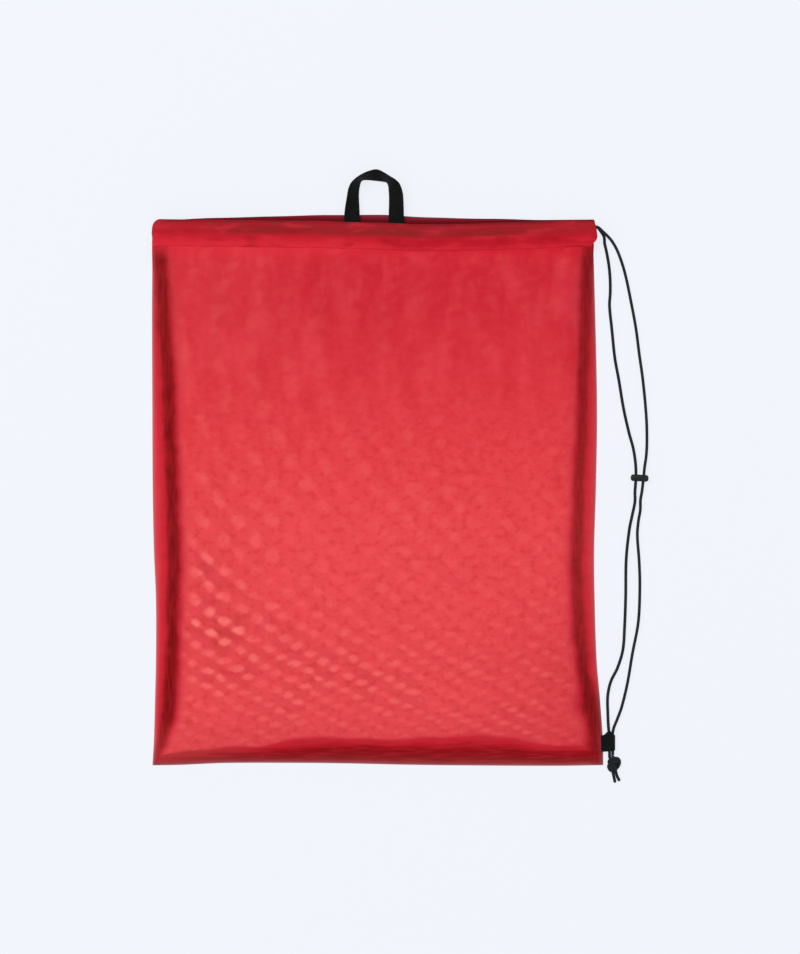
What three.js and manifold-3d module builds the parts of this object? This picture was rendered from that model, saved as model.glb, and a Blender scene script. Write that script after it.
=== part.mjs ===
// Mesh swim bag, empty and lying on its back: two panels of mesh cloth sewn together along the sides
// and the bottom, a folded casing round the mouth with a drawcord in it, a webbing loop to hang it by,
// and a webbing tab at one bottom corner that the drawcord runs through before it is knotted.
// Millimetres. +X runs across the bag, +Y points to the mouth, +Z is up, and the back lies on z = 0.
import * as THREE from "three";
import { mergeVertices } from "three/addons/utils/BufferGeometryUtils.js";
import Module from "manifold-3d";

const wasm = await Module();
wasm.setup();

// Cloth, and the clearance between pieces that are sewn or threaded together
const CLOTH = 1;
const GAP = 0.3;

// Panels: the front one rises from its sewn edge to its full height over the roll width
const SEAM_THICKNESS = 1;
const SEAM_HEIGHT = CLOTH + GAP;
const EDGE_HEIGHT = SEAM_HEIGHT + SEAM_THICKNESS + GAP + CLOTH / 2;
const BODY_HEIGHT = 13;
const ROLL_WIDTH = 46;
const MOUTH_ROLL_WIDTH = 18;
const PANEL_COLUMNS = 22;
const PANEL_ROWS = 26;

// Drawcord, and the casing that is folded round it
const CORD_DIAMETER = 2.8;
const CORD_SIDES = 8;
const CASING_LEFT = -225;
const CASING_RIGHT = 219;
const CASING_WIDTH = 26;
const SEWN_STRIP = 4;
const TUNNEL = CORD_DIAMETER + 2 * GAP;
const TUNNEL_LEAN = 1.8;
const FRONT_BULGE = 1.2;
const TURN_RADIUS = 8.4;
const TURN_STEPS = 5;
const CASING_STEPS = 16;

// Webbing of the hanging loop and of the corner tab
const WEBBING_WIDTH = 15;
const WEBBING_THICKNESS = 1.2;
const TAB_WIDTH = 16;
const TAB_THICKNESS = 0.8;
const TAB_TOP = -245.5;
const TAB_ROOT = 217.5;
const TAB_EDGE = 226;
const TAB_CORD_HEIGHT = 2.65;
const TAB_SLOPE = 118;
const CORD_PITCH = CORD_DIAMETER + 0.4;
const BACK_CORD_X = 231.8;
const FRONT_CORD_X = BACK_CORD_X + CORD_PITCH;

// Slider that holds the two strands together, with a bore for each
const SLIDER = { x: 261.8, y: 12, width: 17.8, length: 6.8, height: 6.4, round: 1.4, turn: -3 };
const SLIDER_PITCH = 7.6;
const SLIDER_BORE = 3.7;
const SLIDER_CORD_HEIGHT = SLIDER.height / 2 + 0.1;

// Side edges of the bag from the bottom up, and how far in the seam allowance reaches from each
const SIDES = [
  { y: -276, left: -225, right: 225, leftSeam: 8, rightSeam: 11 },
  { y: -250, left: -223.5, right: 224.6, leftSeam: 10.5, rightSeam: 14 },
  { y: -210, left: -222.4, right: 221.8, leftSeam: 17, rightSeam: 16 },
  { y: -170, left: -221.5, right: 218.4, leftSeam: 18.5, rightSeam: 17.5 },
  { y: -110, left: -221.5, right: 216.4, leftSeam: 20, rightSeam: 21 },
  { y: -60, left: -223.5, right: 215.9, leftSeam: 22, rightSeam: 20.5 },
  { y: 0, left: -224.7, right: 217.6, leftSeam: 23, rightSeam: 19.5 },
  { y: 80, left: -225.1, right: 218.8, leftSeam: 18.5, rightSeam: 16.5 },
  { y: 190, left: -225.4, right: 216.6, leftSeam: 14, rightSeam: 13 },
  { y: 250, left: -224.6, right: 214.8, leftSeam: 12, rightSeam: 11 },
];

// Bottom edge from left to right, and how far up its seam allowance reaches
const BOTTOM = [
  { share: 0, y: -275.2, seam: 12 },
  { share: 0.06, y: -274.8, seam: 12.5 },
  { share: 0.16, y: -272.9, seam: 13 },
  { share: 0.33, y: -272.8, seam: 16 },
  { share: 0.43, y: -273.3, seam: 18 },
  { share: 0.55, y: -274.5, seam: 18.5 },
  { share: 0.66, y: -275.2, seam: 19 },
  { share: 0.9, y: -275.7, seam: 17.5 },
  { share: 1, y: -275, seam: 16 },
];

// Mouth from left to right: the fold of each casing, and the height of the front casing's outer face
const MOUTH = [
  { share: 0, frontFold: 269, backFold: 269, height: 2 * TURN_RADIUS },
  { share: 0.12, frontFold: 268, backFold: 271.2, height: 17.8 },
  { share: 0.32, frontFold: 266.4, backFold: 274.9, height: 18.8 },
  { share: 0.52, frontFold: 265.2, backFold: 275.2, height: 18.8 },
  { share: 0.76, frontFold: 266.6, backFold: 271.4, height: 16 },
  { share: 1, frontFold: 268.6, backFold: 269.8, height: 11.8 },
];

// Soft folds of the front panel: the middle of each, its reach, its lean from upright and its height
const FOLDS = [
  { x: -168, y: 185, length: 95, width: 13, lean: 3, height: 1.1 },
  { x: -120, y: 170, length: 120, width: 15, lean: -3, height: 1.3 },
  { x: -62, y: 180, length: 105, width: 14, lean: 4, height: 1 },
  { x: 4, y: 160, length: 120, width: 18, lean: -2, height: -1.1 },
  { x: 82, y: 175, length: 100, width: 15, lean: 5, height: 1.1 },
  { x: 148, y: 165, length: 110, width: 14, lean: -4, height: 1.2 },
  { x: -135, y: -130, length: 110, width: 26, lean: 58, height: -1.2 },
  { x: 30, y: -175, length: 120, width: 24, lean: 74, height: 1.2 },
  { x: 182, y: -196, length: 46, width: 9, lean: -38, height: 1.4 },
];

// Hanging loop, along the webbing from the left foot to the right one: its inner and its outer edge
const LOOP = [
  { innerX: -17.6, innerY: 256, outerX: -32.6, outerY: 256 },
  { innerX: -17.6, innerY: 276, outerX: -32.6, outerY: 276 },
  { innerX: -18.8, innerY: 292, outerX: -30, outerY: 292 },
  { innerX: -18.6, innerY: 300.5, outerX: -28.4, outerY: 301 },
  { innerX: -17.6, innerY: 306.5, outerX: -25, outerY: 307.4 },
  { innerX: -16.4, innerY: 310, outerX: -20, outerY: 312.4 },
  { innerX: -13.6, innerY: 311.4, outerX: -14.6, outerY: 315.4 },
  { innerX: -8, innerY: 311.3, outerX: -8.6, outerY: 318.4 },
  { innerX: -1, innerY: 310.4, outerX: -0.6, outerY: 320.2 },
  { innerX: 5.4, innerY: 309.8, outerX: 6.4, outerY: 317 },
  { innerX: 9.6, innerY: 308.6, outerX: 12, outerY: 313.4 },
  { innerX: 11.2, innerY: 304.4, outerX: 17.6, outerY: 310.2 },
  { innerX: 11.5, innerY: 299.4, outerX: 22.4, outerY: 305.4 },
  { innerX: 11.7, innerY: 294, outerX: 25.2, outerY: 296.6 },
  { innerX: 11.6, innerY: 286, outerX: 26, outerY: 286 },
  { innerX: 11.2, innerY: 276, outerX: 26.2, outerY: 276 },
  { innerX: 11.2, innerY: 256, outerX: 26.2, outerY: 256 },
];

// Free strand from the back casing's end to the knot, by way of the slider and the corner tab
const BACK_STRAND = [
  { x: 223, y: 258.6, z: 2.5 },
  { x: 226.4, y: 253, z: 2 },
  { x: 227, y: 246.5, z: 1.6 },
  { x: 229, y: 237.5, z: 1.5 },
  { x: 231.3, y: 224, z: 1.5 },
  { x: 232.5, y: 210.5, z: 1.5 },
  { x: 232.6, y: 197, z: 1.5 },
  { x: 231.9, y: 184, z: 1.5 },
  { x: 234.2, y: 160.7, z: 1.5 },
  { x: 237.2, y: 132, z: 1.5 },
  { x: 241, y: 111, z: 1.5 },
  { x: 246, y: 81, z: 1.5 },
  { x: 251.4, y: 57, z: 1.6 },
  { x: 255.6, y: 41.3, z: 2.1 },
  { x: 257.8, y: 26, z: 3 },
  { x: 258.1, y: 12, z: SLIDER_CORD_HEIGHT },
  { x: 257.2, y: -2, z: 3 },
  { x: 257.2, y: -12, z: 2.1 },
  { x: 254.4, y: -26, z: 1.6 },
  { x: 251.7, y: -39.5, z: 1.5 },
  { x: 248.6, y: -69, z: 1.5 },
  { x: 248, y: -108, z: 1.5 },
  { x: 246.8, y: -140, z: 1.5 },
  { x: 245.2, y: -160, z: 1.5 },
  { x: 240, y: -177.5, z: 1.5 },
  { x: 233.2, y: -191.5, z: 1.5 },
  { x: 230.1, y: -206, z: 1.5 },
  { x: 230.2, y: -224, z: 1.7 },
  { x: 230.7, y: -236, z: 2.4 },
  { x: 231.6, y: -245, z: TAB_CORD_HEIGHT },
  { x: BACK_CORD_X, y: -254, z: TAB_CORD_HEIGHT },
  { x: BACK_CORD_X, y: -265, z: TAB_CORD_HEIGHT },
];

// Free strand from the front casing's end to the knot
const FRONT_STRAND = [
  { x: 224, y: 258.2, z: 8.8 },
  { x: 229, y: 253.8, z: 6.9 },
  { x: 233.6, y: 249, z: 4.8 },
  { x: 239.2, y: 240, z: 2.5 },
  { x: 244.6, y: 226, z: 1.6 },
  { x: 248.8, y: 210.5, z: 1.5 },
  { x: 253, y: 190, z: 1.5 },
  { x: 258.2, y: 162, z: 1.5 },
  { x: 261.6, y: 136, z: 1.5 },
  { x: 265.2, y: 110, z: 1.5 },
  { x: 268.6, y: 74, z: 1.5 },
  { x: 269.3, y: 50, z: 1.6 },
  { x: 268.6, y: 35, z: 2.2 },
  { x: 266.8, y: 22.5, z: 3 },
  { x: 265.7, y: 12, z: SLIDER_CORD_HEIGHT },
  { x: 264.2, y: -1, z: 3 },
  { x: 262.8, y: -10, z: 2.2 },
  { x: 262.6, y: -20, z: 1.7 },
  { x: 260.8, y: -31, z: 1.5 },
  { x: 259.7, y: -45, z: 1.5 },
  { x: 261.6, y: -73, z: 1.5 },
  { x: 262.2, y: -98.7, z: 1.5 },
  { x: 260.6, y: -132.3, z: 1.5 },
  { x: 254.7, y: -164, z: 1.5 },
  { x: 249.7, y: -193.6, z: 1.5 },
  { x: 244, y: -217, z: 1.6 },
  { x: 239.6, y: -229, z: 2.1 },
  { x: 236.3, y: -237, z: 2.5 },
  { x: FRONT_CORD_X, y: -243, z: TAB_CORD_HEIGHT },
  { x: FRONT_CORD_X, y: -254, z: TAB_CORD_HEIGHT },
  { x: FRONT_CORD_X, y: -265, z: TAB_CORD_HEIGHT },
];

// Overhand knot in both strands below the tab: the way of the pair down the bag, to the right and up,
// and how far the strands spread
const KNOT_X = (BACK_CORD_X + FRONT_CORD_X) / 2;
const KNOT_TOP = -265.3;
const KNOT = [
  { down: 0, right: 0, up: TAB_CORD_HEIGHT, spread: 1 },
  { down: 1.2, right: 0, up: TAB_CORD_HEIGHT, spread: 1 },
  { down: 3.6, right: 1.6, up: 3.6, spread: 1 },
  { down: 7, right: 1.4, up: 4.9, spread: 0.9 },
  { down: 10.6, right: -1.4, up: 4.4, spread: 0.9 },
  { down: 13.6, right: 0.2, up: 2.6, spread: 0.9 },
  { down: 12, right: 4.4, up: 2, spread: 0.9 },
  { down: 7.4, right: 7, up: 2.6, spread: 0.9 },
  { down: 4.2, right: 6.2, up: 4.8, spread: 0.9 },
  { down: 3.6, right: 2.6, up: 6.8, spread: 0.9 },
  { down: 5.4, right: -0.8, up: 5.4, spread: 0.9 },
  { down: 8.6, right: 0, up: 1.9, spread: 0.9 },
  { down: 12.8, right: 2.2, up: 5, spread: 0.9 },
  { down: 17.2, right: 3.4, up: 3.2, spread: 0.95 },
  { down: 21.6, right: 4.6, up: 1.6, spread: 1.05 },
  { down: 26.4, right: 6.4, up: 1.5, spread: 1.5 },
];

// Smooth curve of one column of a table over another
function curveThrough(rows, key, column) {
  const last = rows.length - 1;
  const slope = (i) => {
    const before = rows[Math.max(i - 1, 0)];
    const after = rows[Math.min(i + 1, last)];
    return (after[column] - before[column]) / (after[key] - before[key]);
  };
  return (at) => {
    const t = THREE.MathUtils.clamp(at, rows[0][key], rows[last][key]);
    const i = Math.max(rows.findIndex((row) => row[key] >= t) - 1, 0);
    const span = rows[i + 1][key] - rows[i][key];
    const s = (t - rows[i][key]) / span;
    const near = 1 - s;
    return (1 + 2 * s) * near * near * rows[i][column]
      + (1 + 2 * near) * s * s * rows[i + 1][column]
      + s * near * near * span * slope(i)
      - s * s * near * span * slope(i + 1);
  };
}

const leftEdge = curveThrough(SIDES, "y", "left");
const rightEdge = curveThrough(SIDES, "y", "right");
const leftSeamReach = curveThrough(SIDES, "y", "leftSeam");
const rightSeamReach = curveThrough(SIDES, "y", "rightSeam");
const bottomEdge = curveThrough(BOTTOM, "share", "y");
const bottomSeamReach = curveThrough(BOTTOM, "share", "seam");
const frontFold = curveThrough(MOUTH, "share", "frontFold");
const backFold = curveThrough(MOUTH, "share", "backFold");
const mouthHeight = curveThrough(MOUTH, "share", "height");

const CASING_START = CASING_LEFT + TURN_RADIUS;
const mouthShare = (x) => (x - CASING_START) / (CASING_RIGHT - CASING_START);

// Closed solid from its points and triangles, with the faces turned outwards
function closedSolid(points, triangles) {
  const volume = triangles.reduce((sum, [a, b, c]) => {
    return sum + points[a].dot(new THREE.Vector3().crossVectors(points[b], points[c]));
  }, 0);
  const order = volume < 0 ? [0, 2, 1] : [0, 1, 2];
  const geometry = new THREE.BufferGeometry().setFromPoints(points);
  geometry.setIndex(triangles.flatMap((triangle) => order.map((k) => triangle[k])));
  geometry.computeVertexNormals();
  return geometry;
}

// Wall of one thickness on both sides of a surface that is given over two shares
function clothWall(surface, columns, rows, thickness) {
  const wide = columns + 1;
  const count = wide * (rows + 1);
  const step = 0.002;
  const above = [];
  const below = [];
  for (let j = 0; j <= rows; j += 1) {
    for (let i = 0; i <= columns; i += 1) {
      const u = i / columns;
      const v = j / rows;
      const across = surface(Math.min(u + step, 1), v).sub(surface(Math.max(u - step, 0), v));
      const along = surface(u, Math.min(v + step, 1)).sub(surface(u, Math.max(v - step, 0)));
      const lift = across.cross(along).setLength(thickness / 2);
      above.push(surface(u, v).add(lift));
      below.push(surface(u, v).sub(lift));
    }
  }
  const triangles = [];
  const quad = (a, b, c, d) => triangles.push([a, b, c], [a, c, d]);
  for (let j = 0; j < rows; j += 1) {
    for (let i = 0; i < columns; i += 1) {
      const a = j * wide + i;
      quad(a, a + 1, a + wide + 1, a + wide);
      quad(count + a, count + a + wide, count + a + wide + 1, count + a + 1);
    }
  }
  for (let i = 0; i < columns; i += 1) {
    const a = rows * wide + i;
    quad(i, count + i, count + i + 1, i + 1);
    quad(a, a + 1, count + a + 1, count + a);
  }
  for (let j = 0; j < rows; j += 1) {
    const a = j * wide;
    const b = a + columns;
    quad(a, a + wide, count + a + wide, count + a);
    quad(b, count + b, count + b + wide, b + wide);
  }
  return closedSolid([...above, ...below], triangles);
}

// Solid through a row of stations, each with its place, its two directions and its section's loops:
// the outer loop, which runs anticlockwise, and the clockwise loop of the tunnel in it if there is one
function sweep(stations) {
  const points = [];
  const triangles = [];
  const starts = [];
  for (const station of stations) {
    starts.push(points.length);
    for (const { x, y } of station.loops.flat()) {
      const point = station.place.clone().addScaledVector(station.across, x);
      points.push(point.addScaledVector(station.inward, y));
    }
  }
  for (let k = 0; k + 1 < stations.length; k += 1) {
    let offset = 0;
    for (const loop of stations[k].loops) {
      for (let i = 0; i < loop.length; i += 1) {
        const next = (i + 1) % loop.length;
        const near = starts[k] + offset;
        const far = starts[k + 1] + offset;
        triangles.push([near + i, near + next, far + next], [near + i, far + next, far + i]);
      }
      offset += loop.length;
    }
  }
  const ends = [[stations[0], starts[0], true], [stations.at(-1), starts.at(-1), false]];
  for (const [station, start, flipped] of ends) {
    const [outer, ...tunnels] = station.loops;
    for (const [a, b, c] of THREE.ShapeUtils.triangulateShape(outer, tunnels)) {
      triangles.push(flipped ? [start + a, start + c, start + b] : [start + a, start + b, start + c]);
    }
  }
  return closedSolid(points, triangles);
}

// Flat piece of cloth of a given outline
function plate(outline, height, thickness) {
  const shape = new THREE.Shape(outline.map(([x, y]) => new THREE.Vector2(x, y)));
  const geometry = new THREE.ExtrudeGeometry(shape, { depth: thickness, bevelEnabled: false });
  return geometry.translate(0, 0, height);
}

// Length of cord through a row of points
function cord(points, steps) {
  const section = new THREE.Shape();
  section.setFromPoints(Array.from({ length: CORD_SIDES }, (_, i) => {
    const angle = (i / CORD_SIDES) * 2 * Math.PI;
    return new THREE.Vector2(Math.cos(angle), Math.sin(angle)).multiplyScalar(CORD_DIAMETER / 2);
  }));
  const extrudePath = new THREE.CatmullRomCurve3(points.map(({ x, y, z }) => new THREE.Vector3(x, y, z)));
  return new THREE.ExtrudeGeometry(section, { steps, extrudePath, bevelEnabled: false });
}

function toManifold(geometry) {
  const bare = geometry.clone();
  bare.deleteAttribute("normal");
  bare.deleteAttribute("uv");
  const merged = mergeVertices(bare, 1e-4);
  const mesh = new wasm.Mesh({
    numProp: 3,
    vertProperties: Float32Array.from(merged.attributes.position.array),
    triVerts: Uint32Array.from(merged.index.array),
  });
  return new wasm.Manifold(mesh);
}

function fromManifold(manifold) {
  const { vertProperties, triVerts } = manifold.getMesh();
  const geometry = new THREE.BufferGeometry();
  geometry.setAttribute("position", new THREE.BufferAttribute(vertProperties, 3));
  geometry.setIndex(new THREE.BufferAttribute(triVerts, 1));
  geometry.computeVertexNormals();
  return geometry;
}

const joined = (pieces) => fromManifold(pieces.map(toManifold).reduce((sum, piece) => sum.add(piece)));
const cut = (body, tools) => {
  return fromManifold(tools.map(toManifold).reduce((rest, tool) => rest.subtract(tool), toManifold(body)));
};

// Section of a casing at one bulge of its outer face, as across and inward: a sewn strip of two layers,
// then the tunnel for the cord, which is widest near the fold
function tunnelShare(across) {
  const share = (across - SEWN_STRIP) / (CASING_WIDTH - SEWN_STRIP);
  return Math.sin(Math.PI * Math.pow(THREE.MathUtils.clamp(share, 0, 1), TUNNEL_LEAN));
}

const CORD_ACROSS = SEWN_STRIP + (CASING_WIDTH - SEWN_STRIP) * Math.pow(0.5, 1 / TUNNEL_LEAN);
const cordInward = (bulge) => CLOTH + (TUNNEL - bulge) / 2;

function casingLoops(bulge) {
  const outerAcross = [0, SEWN_STRIP, 7, 10, 13, 16, 19, 22, 24.5, CASING_WIDTH];
  const tunnelAcross = [7, 10, 13, 16, 19, 22, 24.3];
  const loop = (list, inset) => [
    ...list.map((w) => new THREE.Vector2(w, inset - bulge * tunnelShare(w))),
    ...list.toReversed().map((w) => new THREE.Vector2(w, 2 * CLOTH - inset + TUNNEL * tunnelShare(w))),
  ];
  return [loop(outerAcross, 0), loop(tunnelAcross, CLOTH).reverse()];
}

// Stations of a casing, from the side seam round the turn at the left and on to the right end
function casingStations({ fold, height, towards, bulgeAt, right }) {
  const stations = [];
  const add = (x, z, inward, bulge) => {
    const lowerEdge = fold(mouthShare(x)) - CASING_WIDTH;
    stations.push({
      place: new THREE.Vector3(x, lowerEdge, z),
      across: new THREE.Vector3(0, 1, 0),
      inward,
      loops: casingLoops(bulge),
    });
  };
  const seamAngle = GAP / 2 / TURN_RADIUS;
  for (let i = 0; i < TURN_STEPS; i += 1) {
    const angle = seamAngle + (i / TURN_STEPS) * (Math.PI / 2 - seamAngle);
    const inward = new THREE.Vector3(Math.cos(angle), 0, -towards * Math.sin(angle));
    const x = CASING_START - TURN_RADIUS * Math.cos(angle);
    add(x, TURN_RADIUS + towards * TURN_RADIUS * Math.sin(angle), inward, 0);
  }
  for (let i = 0; i <= CASING_STEPS; i += 1) {
    const x = THREE.MathUtils.lerp(CASING_START, right, i / CASING_STEPS);
    const slope = height(mouthShare(x + 1)) - height(mouthShare(x));
    const inward = new THREE.Vector3(i === 0 ? 0 : towards * slope, 0, -towards).normalize();
    add(x, height(mouthShare(x)), inward, bulgeAt(mouthShare(x)));
  }
  return stations;
}

const frontBulge = (share) => FRONT_BULGE * THREE.MathUtils.smoothstep(share, 0, 0.1);
const FRONT_CASING = {
  fold: frontFold,
  height: mouthHeight,
  towards: 1,
  bulgeAt: frontBulge,
  right: CASING_RIGHT,
};
const BACK_CASING = {
  fold: backFold,
  height: () => 0,
  towards: -1,
  bulgeAt: () => 0,
  right: CASING_RIGHT - 0.6,
};

// Line of the cord in a casing, from the turn to just inside the right end
function cordLine({ fold, height, towards, bulgeAt, right }, from, to, steps) {
  return Array.from({ length: steps + 1 }, (_, i) => {
    const x = THREE.MathUtils.lerp(from, to, i / steps);
    const share = mouthShare(x);
    const y = fold(share) - CASING_WIDTH + CORD_ACROSS;
    return new THREE.Vector3(x, y, height(share) - towards * cordInward(bulgeAt(share)));
  });
}

// Front panel: it rises from the side and bottom seams, meets the casing's sewn strip at the top, and
// keeps its soft folds
function foldHeight(x, y) {
  return FOLDS.reduce((sum, fold) => {
    const lean = THREE.MathUtils.degToRad(fold.lean);
    const along = ((y - fold.y) * Math.cos(lean) + (x - fold.x) * Math.sin(lean)) / fold.length;
    const across = ((x - fold.x) * Math.cos(lean) - (y - fold.y) * Math.sin(lean)) / fold.width;
    return sum + fold.height * Math.exp(-along * along * 2 - across * across);
  }, 0);
}

function frontSurface(u, v) {
  const bottom = bottomEdge(u);
  const middleX = THREE.MathUtils.lerp(CASING_LEFT, CASING_RIGHT, u);
  const top = frontFold(mouthShare(middleX)) - CASING_WIDTH - GAP;
  const y = THREE.MathUtils.lerp(bottom, top, v);
  const x = THREE.MathUtils.lerp(leftEdge(y), rightEdge(y), u);
  const nearMouth = THREE.MathUtils.smoothstep(y, 130, top);
  const full = THREE.MathUtils.lerp(BODY_HEIGHT, mouthHeight(mouthShare(x)) - CLOTH, nearMouth);
  const rollWidth = THREE.MathUtils.lerp(ROLL_WIDTH, MOUTH_ROLL_WIDTH, nearMouth);
  const rise = (reach, width) => Math.sin((Math.PI / 2) * Math.min(reach / width, 1));
  const sides = rise(x - leftEdge(y), rollWidth) * rise(rightEdge(y) - x, rollWidth);
  const share = sides * rise(y - bottom, ROLL_WIDTH);
  return new THREE.Vector3(x, y, EDGE_HEIGHT + (full - EDGE_HEIGHT + foldHeight(x, y)) * share);
}

// Outlines of the flat pieces, as walks along the edge curves
const walk = (from, to, steps, point) => {
  return Array.from({ length: steps + 1 }, (_, i) => point(THREE.MathUtils.lerp(from, to, i / steps)));
};
const backTop = (u) => {
  return backFold(mouthShare(THREE.MathUtils.lerp(CASING_LEFT, CASING_RIGHT, u))) - CASING_WIDTH - GAP;
};

function backOutline() {
  const bottom = walk(0, 1, 12, (u) => {
    const y = bottomEdge(u);
    return [THREE.MathUtils.lerp(leftEdge(y), rightEdge(y), u), y];
  });
  const right = walk(bottomEdge(1), backTop(1), 16, (y) => [rightEdge(y), y]).slice(1, -1);
  const top = walk(1, 0, 12, (u) => [THREE.MathUtils.lerp(leftEdge(240), rightEdge(240), u), backTop(u)]);
  const left = walk(backTop(0), bottomEdge(0), 16, (y) => [leftEdge(y), y]).slice(1, -1);
  return [...bottom, ...right, ...top, ...left];
}

function sideSeamOutline(edge, reach, direction, bottom) {
  const from = bottom + 1;
  const to = frontFold(0) - CASING_WIDTH - 2;
  const outer = walk(from, to, 20, (y) => [edge(y) + direction, y]);
  const inner = walk(to, from, 20, (y) => [edge(y) + direction * reach(y), y]);
  return direction > 0 ? [...inner.toReversed(), ...outer.toReversed()] : [...outer, ...inner];
}

function bottomSeamOutline() {
  const left = leftEdge(-262) + leftSeamReach(-262) + 3;
  const right = rightEdge(-262) - rightSeamReach(-262) - 3;
  const share = (x) => (x - leftEdge(-272)) / (rightEdge(-272) - leftEdge(-272));
  const lower = walk(left, right, 16, (x) => [x, bottomEdge(share(x)) + 1]);
  const upper = walk(right, left, 16, (x) => [x, bottomEdge(share(x)) + bottomSeamReach(share(x))]);
  return [...lower, ...upper];
}

// Hanging loop: where the webbing looks narrower than it is, it stands up on its inner edge
function loopStations() {
  const footHeight = 2 * CLOTH + TUNNEL + GAP + WEBBING_THICKNESS / 2;
  const edges = LOOP.map(({ innerX, innerY, outerX, outerY }) => {
    const seen = Math.hypot(outerX - innerX, outerY - innerY);
    const rise = Math.sqrt(Math.max(WEBBING_WIDTH ** 2 - seen ** 2, 0));
    const middle = footHeight + (2 * rise) / WEBBING_WIDTH;
    const inner = new THREE.Vector3(innerX, innerY, middle - rise / 2);
    const outer = new THREE.Vector3(outerX, outerY, middle + rise / 2);
    return { place: inner.clone().lerp(outer, 0.5), across: outer.sub(inner).normalize() };
  });
  const half = new THREE.Vector2(WEBBING_WIDTH / 2, WEBBING_THICKNESS / 2);
  const corners = [[-1, -1], [1, -1], [1, 1], [-1, 1]];
  const section = corners.map(([x, y]) => new THREE.Vector2(x, y).multiply(half));
  return edges.map(({ place, across }, i) => {
    const before = edges[Math.max(i - 1, 0)].place;
    const after = edges[Math.min(i + 1, edges.length - 1)].place;
    const inward = after.clone().sub(before).cross(across).normalize();
    return { place, across, inward, loops: [section] };
  });
}

// Corner tab: webbing folded round the two strands, with its ends in the side seam
function tabLoop(path, root, reach) {
  path.lineTo(BACK_CORD_X, TAB_CORD_HEIGHT - reach);
  path.absarc(FRONT_CORD_X, TAB_CORD_HEIGHT, reach, -Math.PI / 2, Math.PI / 2, false);
  path.absarc(BACK_CORD_X, TAB_CORD_HEIGHT, reach, Math.PI / 2, THREE.MathUtils.degToRad(TAB_SLOPE), false);
  path.lineTo(root.x, root.y);
}

function cornerTab() {
  const reach = CORD_DIAMETER / 2 + GAP;
  const top = SEAM_HEIGHT + SEAM_THICKNESS;
  const shape = new THREE.Shape();
  shape.moveTo(TAB_ROOT, SEAM_HEIGHT);
  shape.lineTo(TAB_EDGE, SEAM_HEIGHT);
  tabLoop(shape, { x: TAB_EDGE, y: top }, reach + TAB_THICKNESS);
  shape.lineTo(TAB_ROOT, top);
  const eye = new THREE.Path();
  const corner = { x: TAB_EDGE + 2 * TAB_THICKNESS, y: SEAM_HEIGHT + TAB_THICKNESS };
  eye.moveTo(corner.x, corner.y);
  tabLoop(eye, corner, reach);
  shape.holes.push(eye);
  const band = new THREE.ExtrudeGeometry(shape, {
    depth: TAB_WIDTH,
    bevelEnabled: false,
    curveSegments: 5,
  });
  return band.rotateX(Math.PI / 2).translate(0, TAB_TOP, 0);
}

// Slider: a rounded block with two bores
function cordSlider() {
  const { width, length, height, round, turn } = SLIDER;
  const end = height / 2 - round;
  const side = width / 2 - height / 2;
  const shape = new THREE.Shape();
  shape.absarc(side, 0, end, -Math.PI / 2, Math.PI / 2, false);
  shape.absarc(-side, 0, end, Math.PI / 2, 1.5 * Math.PI, false);
  const block = new THREE.ExtrudeGeometry(shape, {
    depth: length - 2 * round,
    bevelThickness: round,
    bevelSize: round,
    bevelSegments: 3,
    curveSegments: 8,
  });
  block.translate(0, 0, round - length / 2).rotateX(Math.PI / 2);
  const bores = [-0.5, 0.5].map((side) => {
    const bore = new THREE.CylinderGeometry(SLIDER_BORE / 2, SLIDER_BORE / 2, 2 * length, 16);
    return bore.translate(side * SLIDER_PITCH, 0, 0);
  });
  return cut(block, bores).rotateZ(THREE.MathUtils.degToRad(turn));
}

// Knot: each strand keeps to its side of the pair all the way round
function knotStrand(side) {
  const way = KNOT.map(({ down, right, up }) => new THREE.Vector3(KNOT_X + right, KNOT_TOP - down, up));
  return way.map((point, i) => {
    const along = way[Math.min(i + 1, way.length - 1)].clone().sub(way[Math.max(i - 1, 0)]);
    const sideways = new THREE.Vector3(along.y, -along.x, 0).normalize();
    return point.clone().addScaledVector(sideways, side * KNOT[i].spread * (CORD_PITCH / 2));
  });
}

function cordKnot() {
  const stretches = [[0, 5], [4, 9], [8, KNOT.length]];
  return joined([-1, 1].flatMap((side) => {
    return stretches.map(([from, to]) => cord(knotStrand(side).slice(from, to), 12));
  }));
}

const mesh = new THREE.MeshStandardMaterial({ color: 0xd8404a, roughness: 0.75, metalness: 0 });
const hem = new THREE.MeshStandardMaterial({ color: 0xc0202c, roughness: 0.75, metalness: 0 });
const overlock = new THREE.MeshStandardMaterial({ color: 0x8c1a1e, roughness: 0.85, metalness: 0 });
const webbing = new THREE.MeshStandardMaterial({ color: 0x1b1c1f, roughness: 0.8, metalness: 0 });
const braid = new THREE.MeshStandardMaterial({ color: 0x202226, roughness: 0.7, metalness: 0 });
const plastic = new THREE.MeshStandardMaterial({ color: 0x18191b, roughness: 0.45, metalness: 0 });

const bag = new THREE.Group();

function add(name, geometry, material) {
  const piece = new THREE.Mesh(geometry, material);
  piece.name = name;
  bag.add(piece);
  return piece;
}

add("front_panel", clothWall(frontSurface, PANEL_COLUMNS, PANEL_ROWS, CLOTH), mesh);
add("back_panel", plate(backOutline(), 0, CLOTH), mesh);
add("front_casing", sweep(casingStations(FRONT_CASING)), hem);
add("back_casing", sweep(casingStations(BACK_CASING)), hem);

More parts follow.
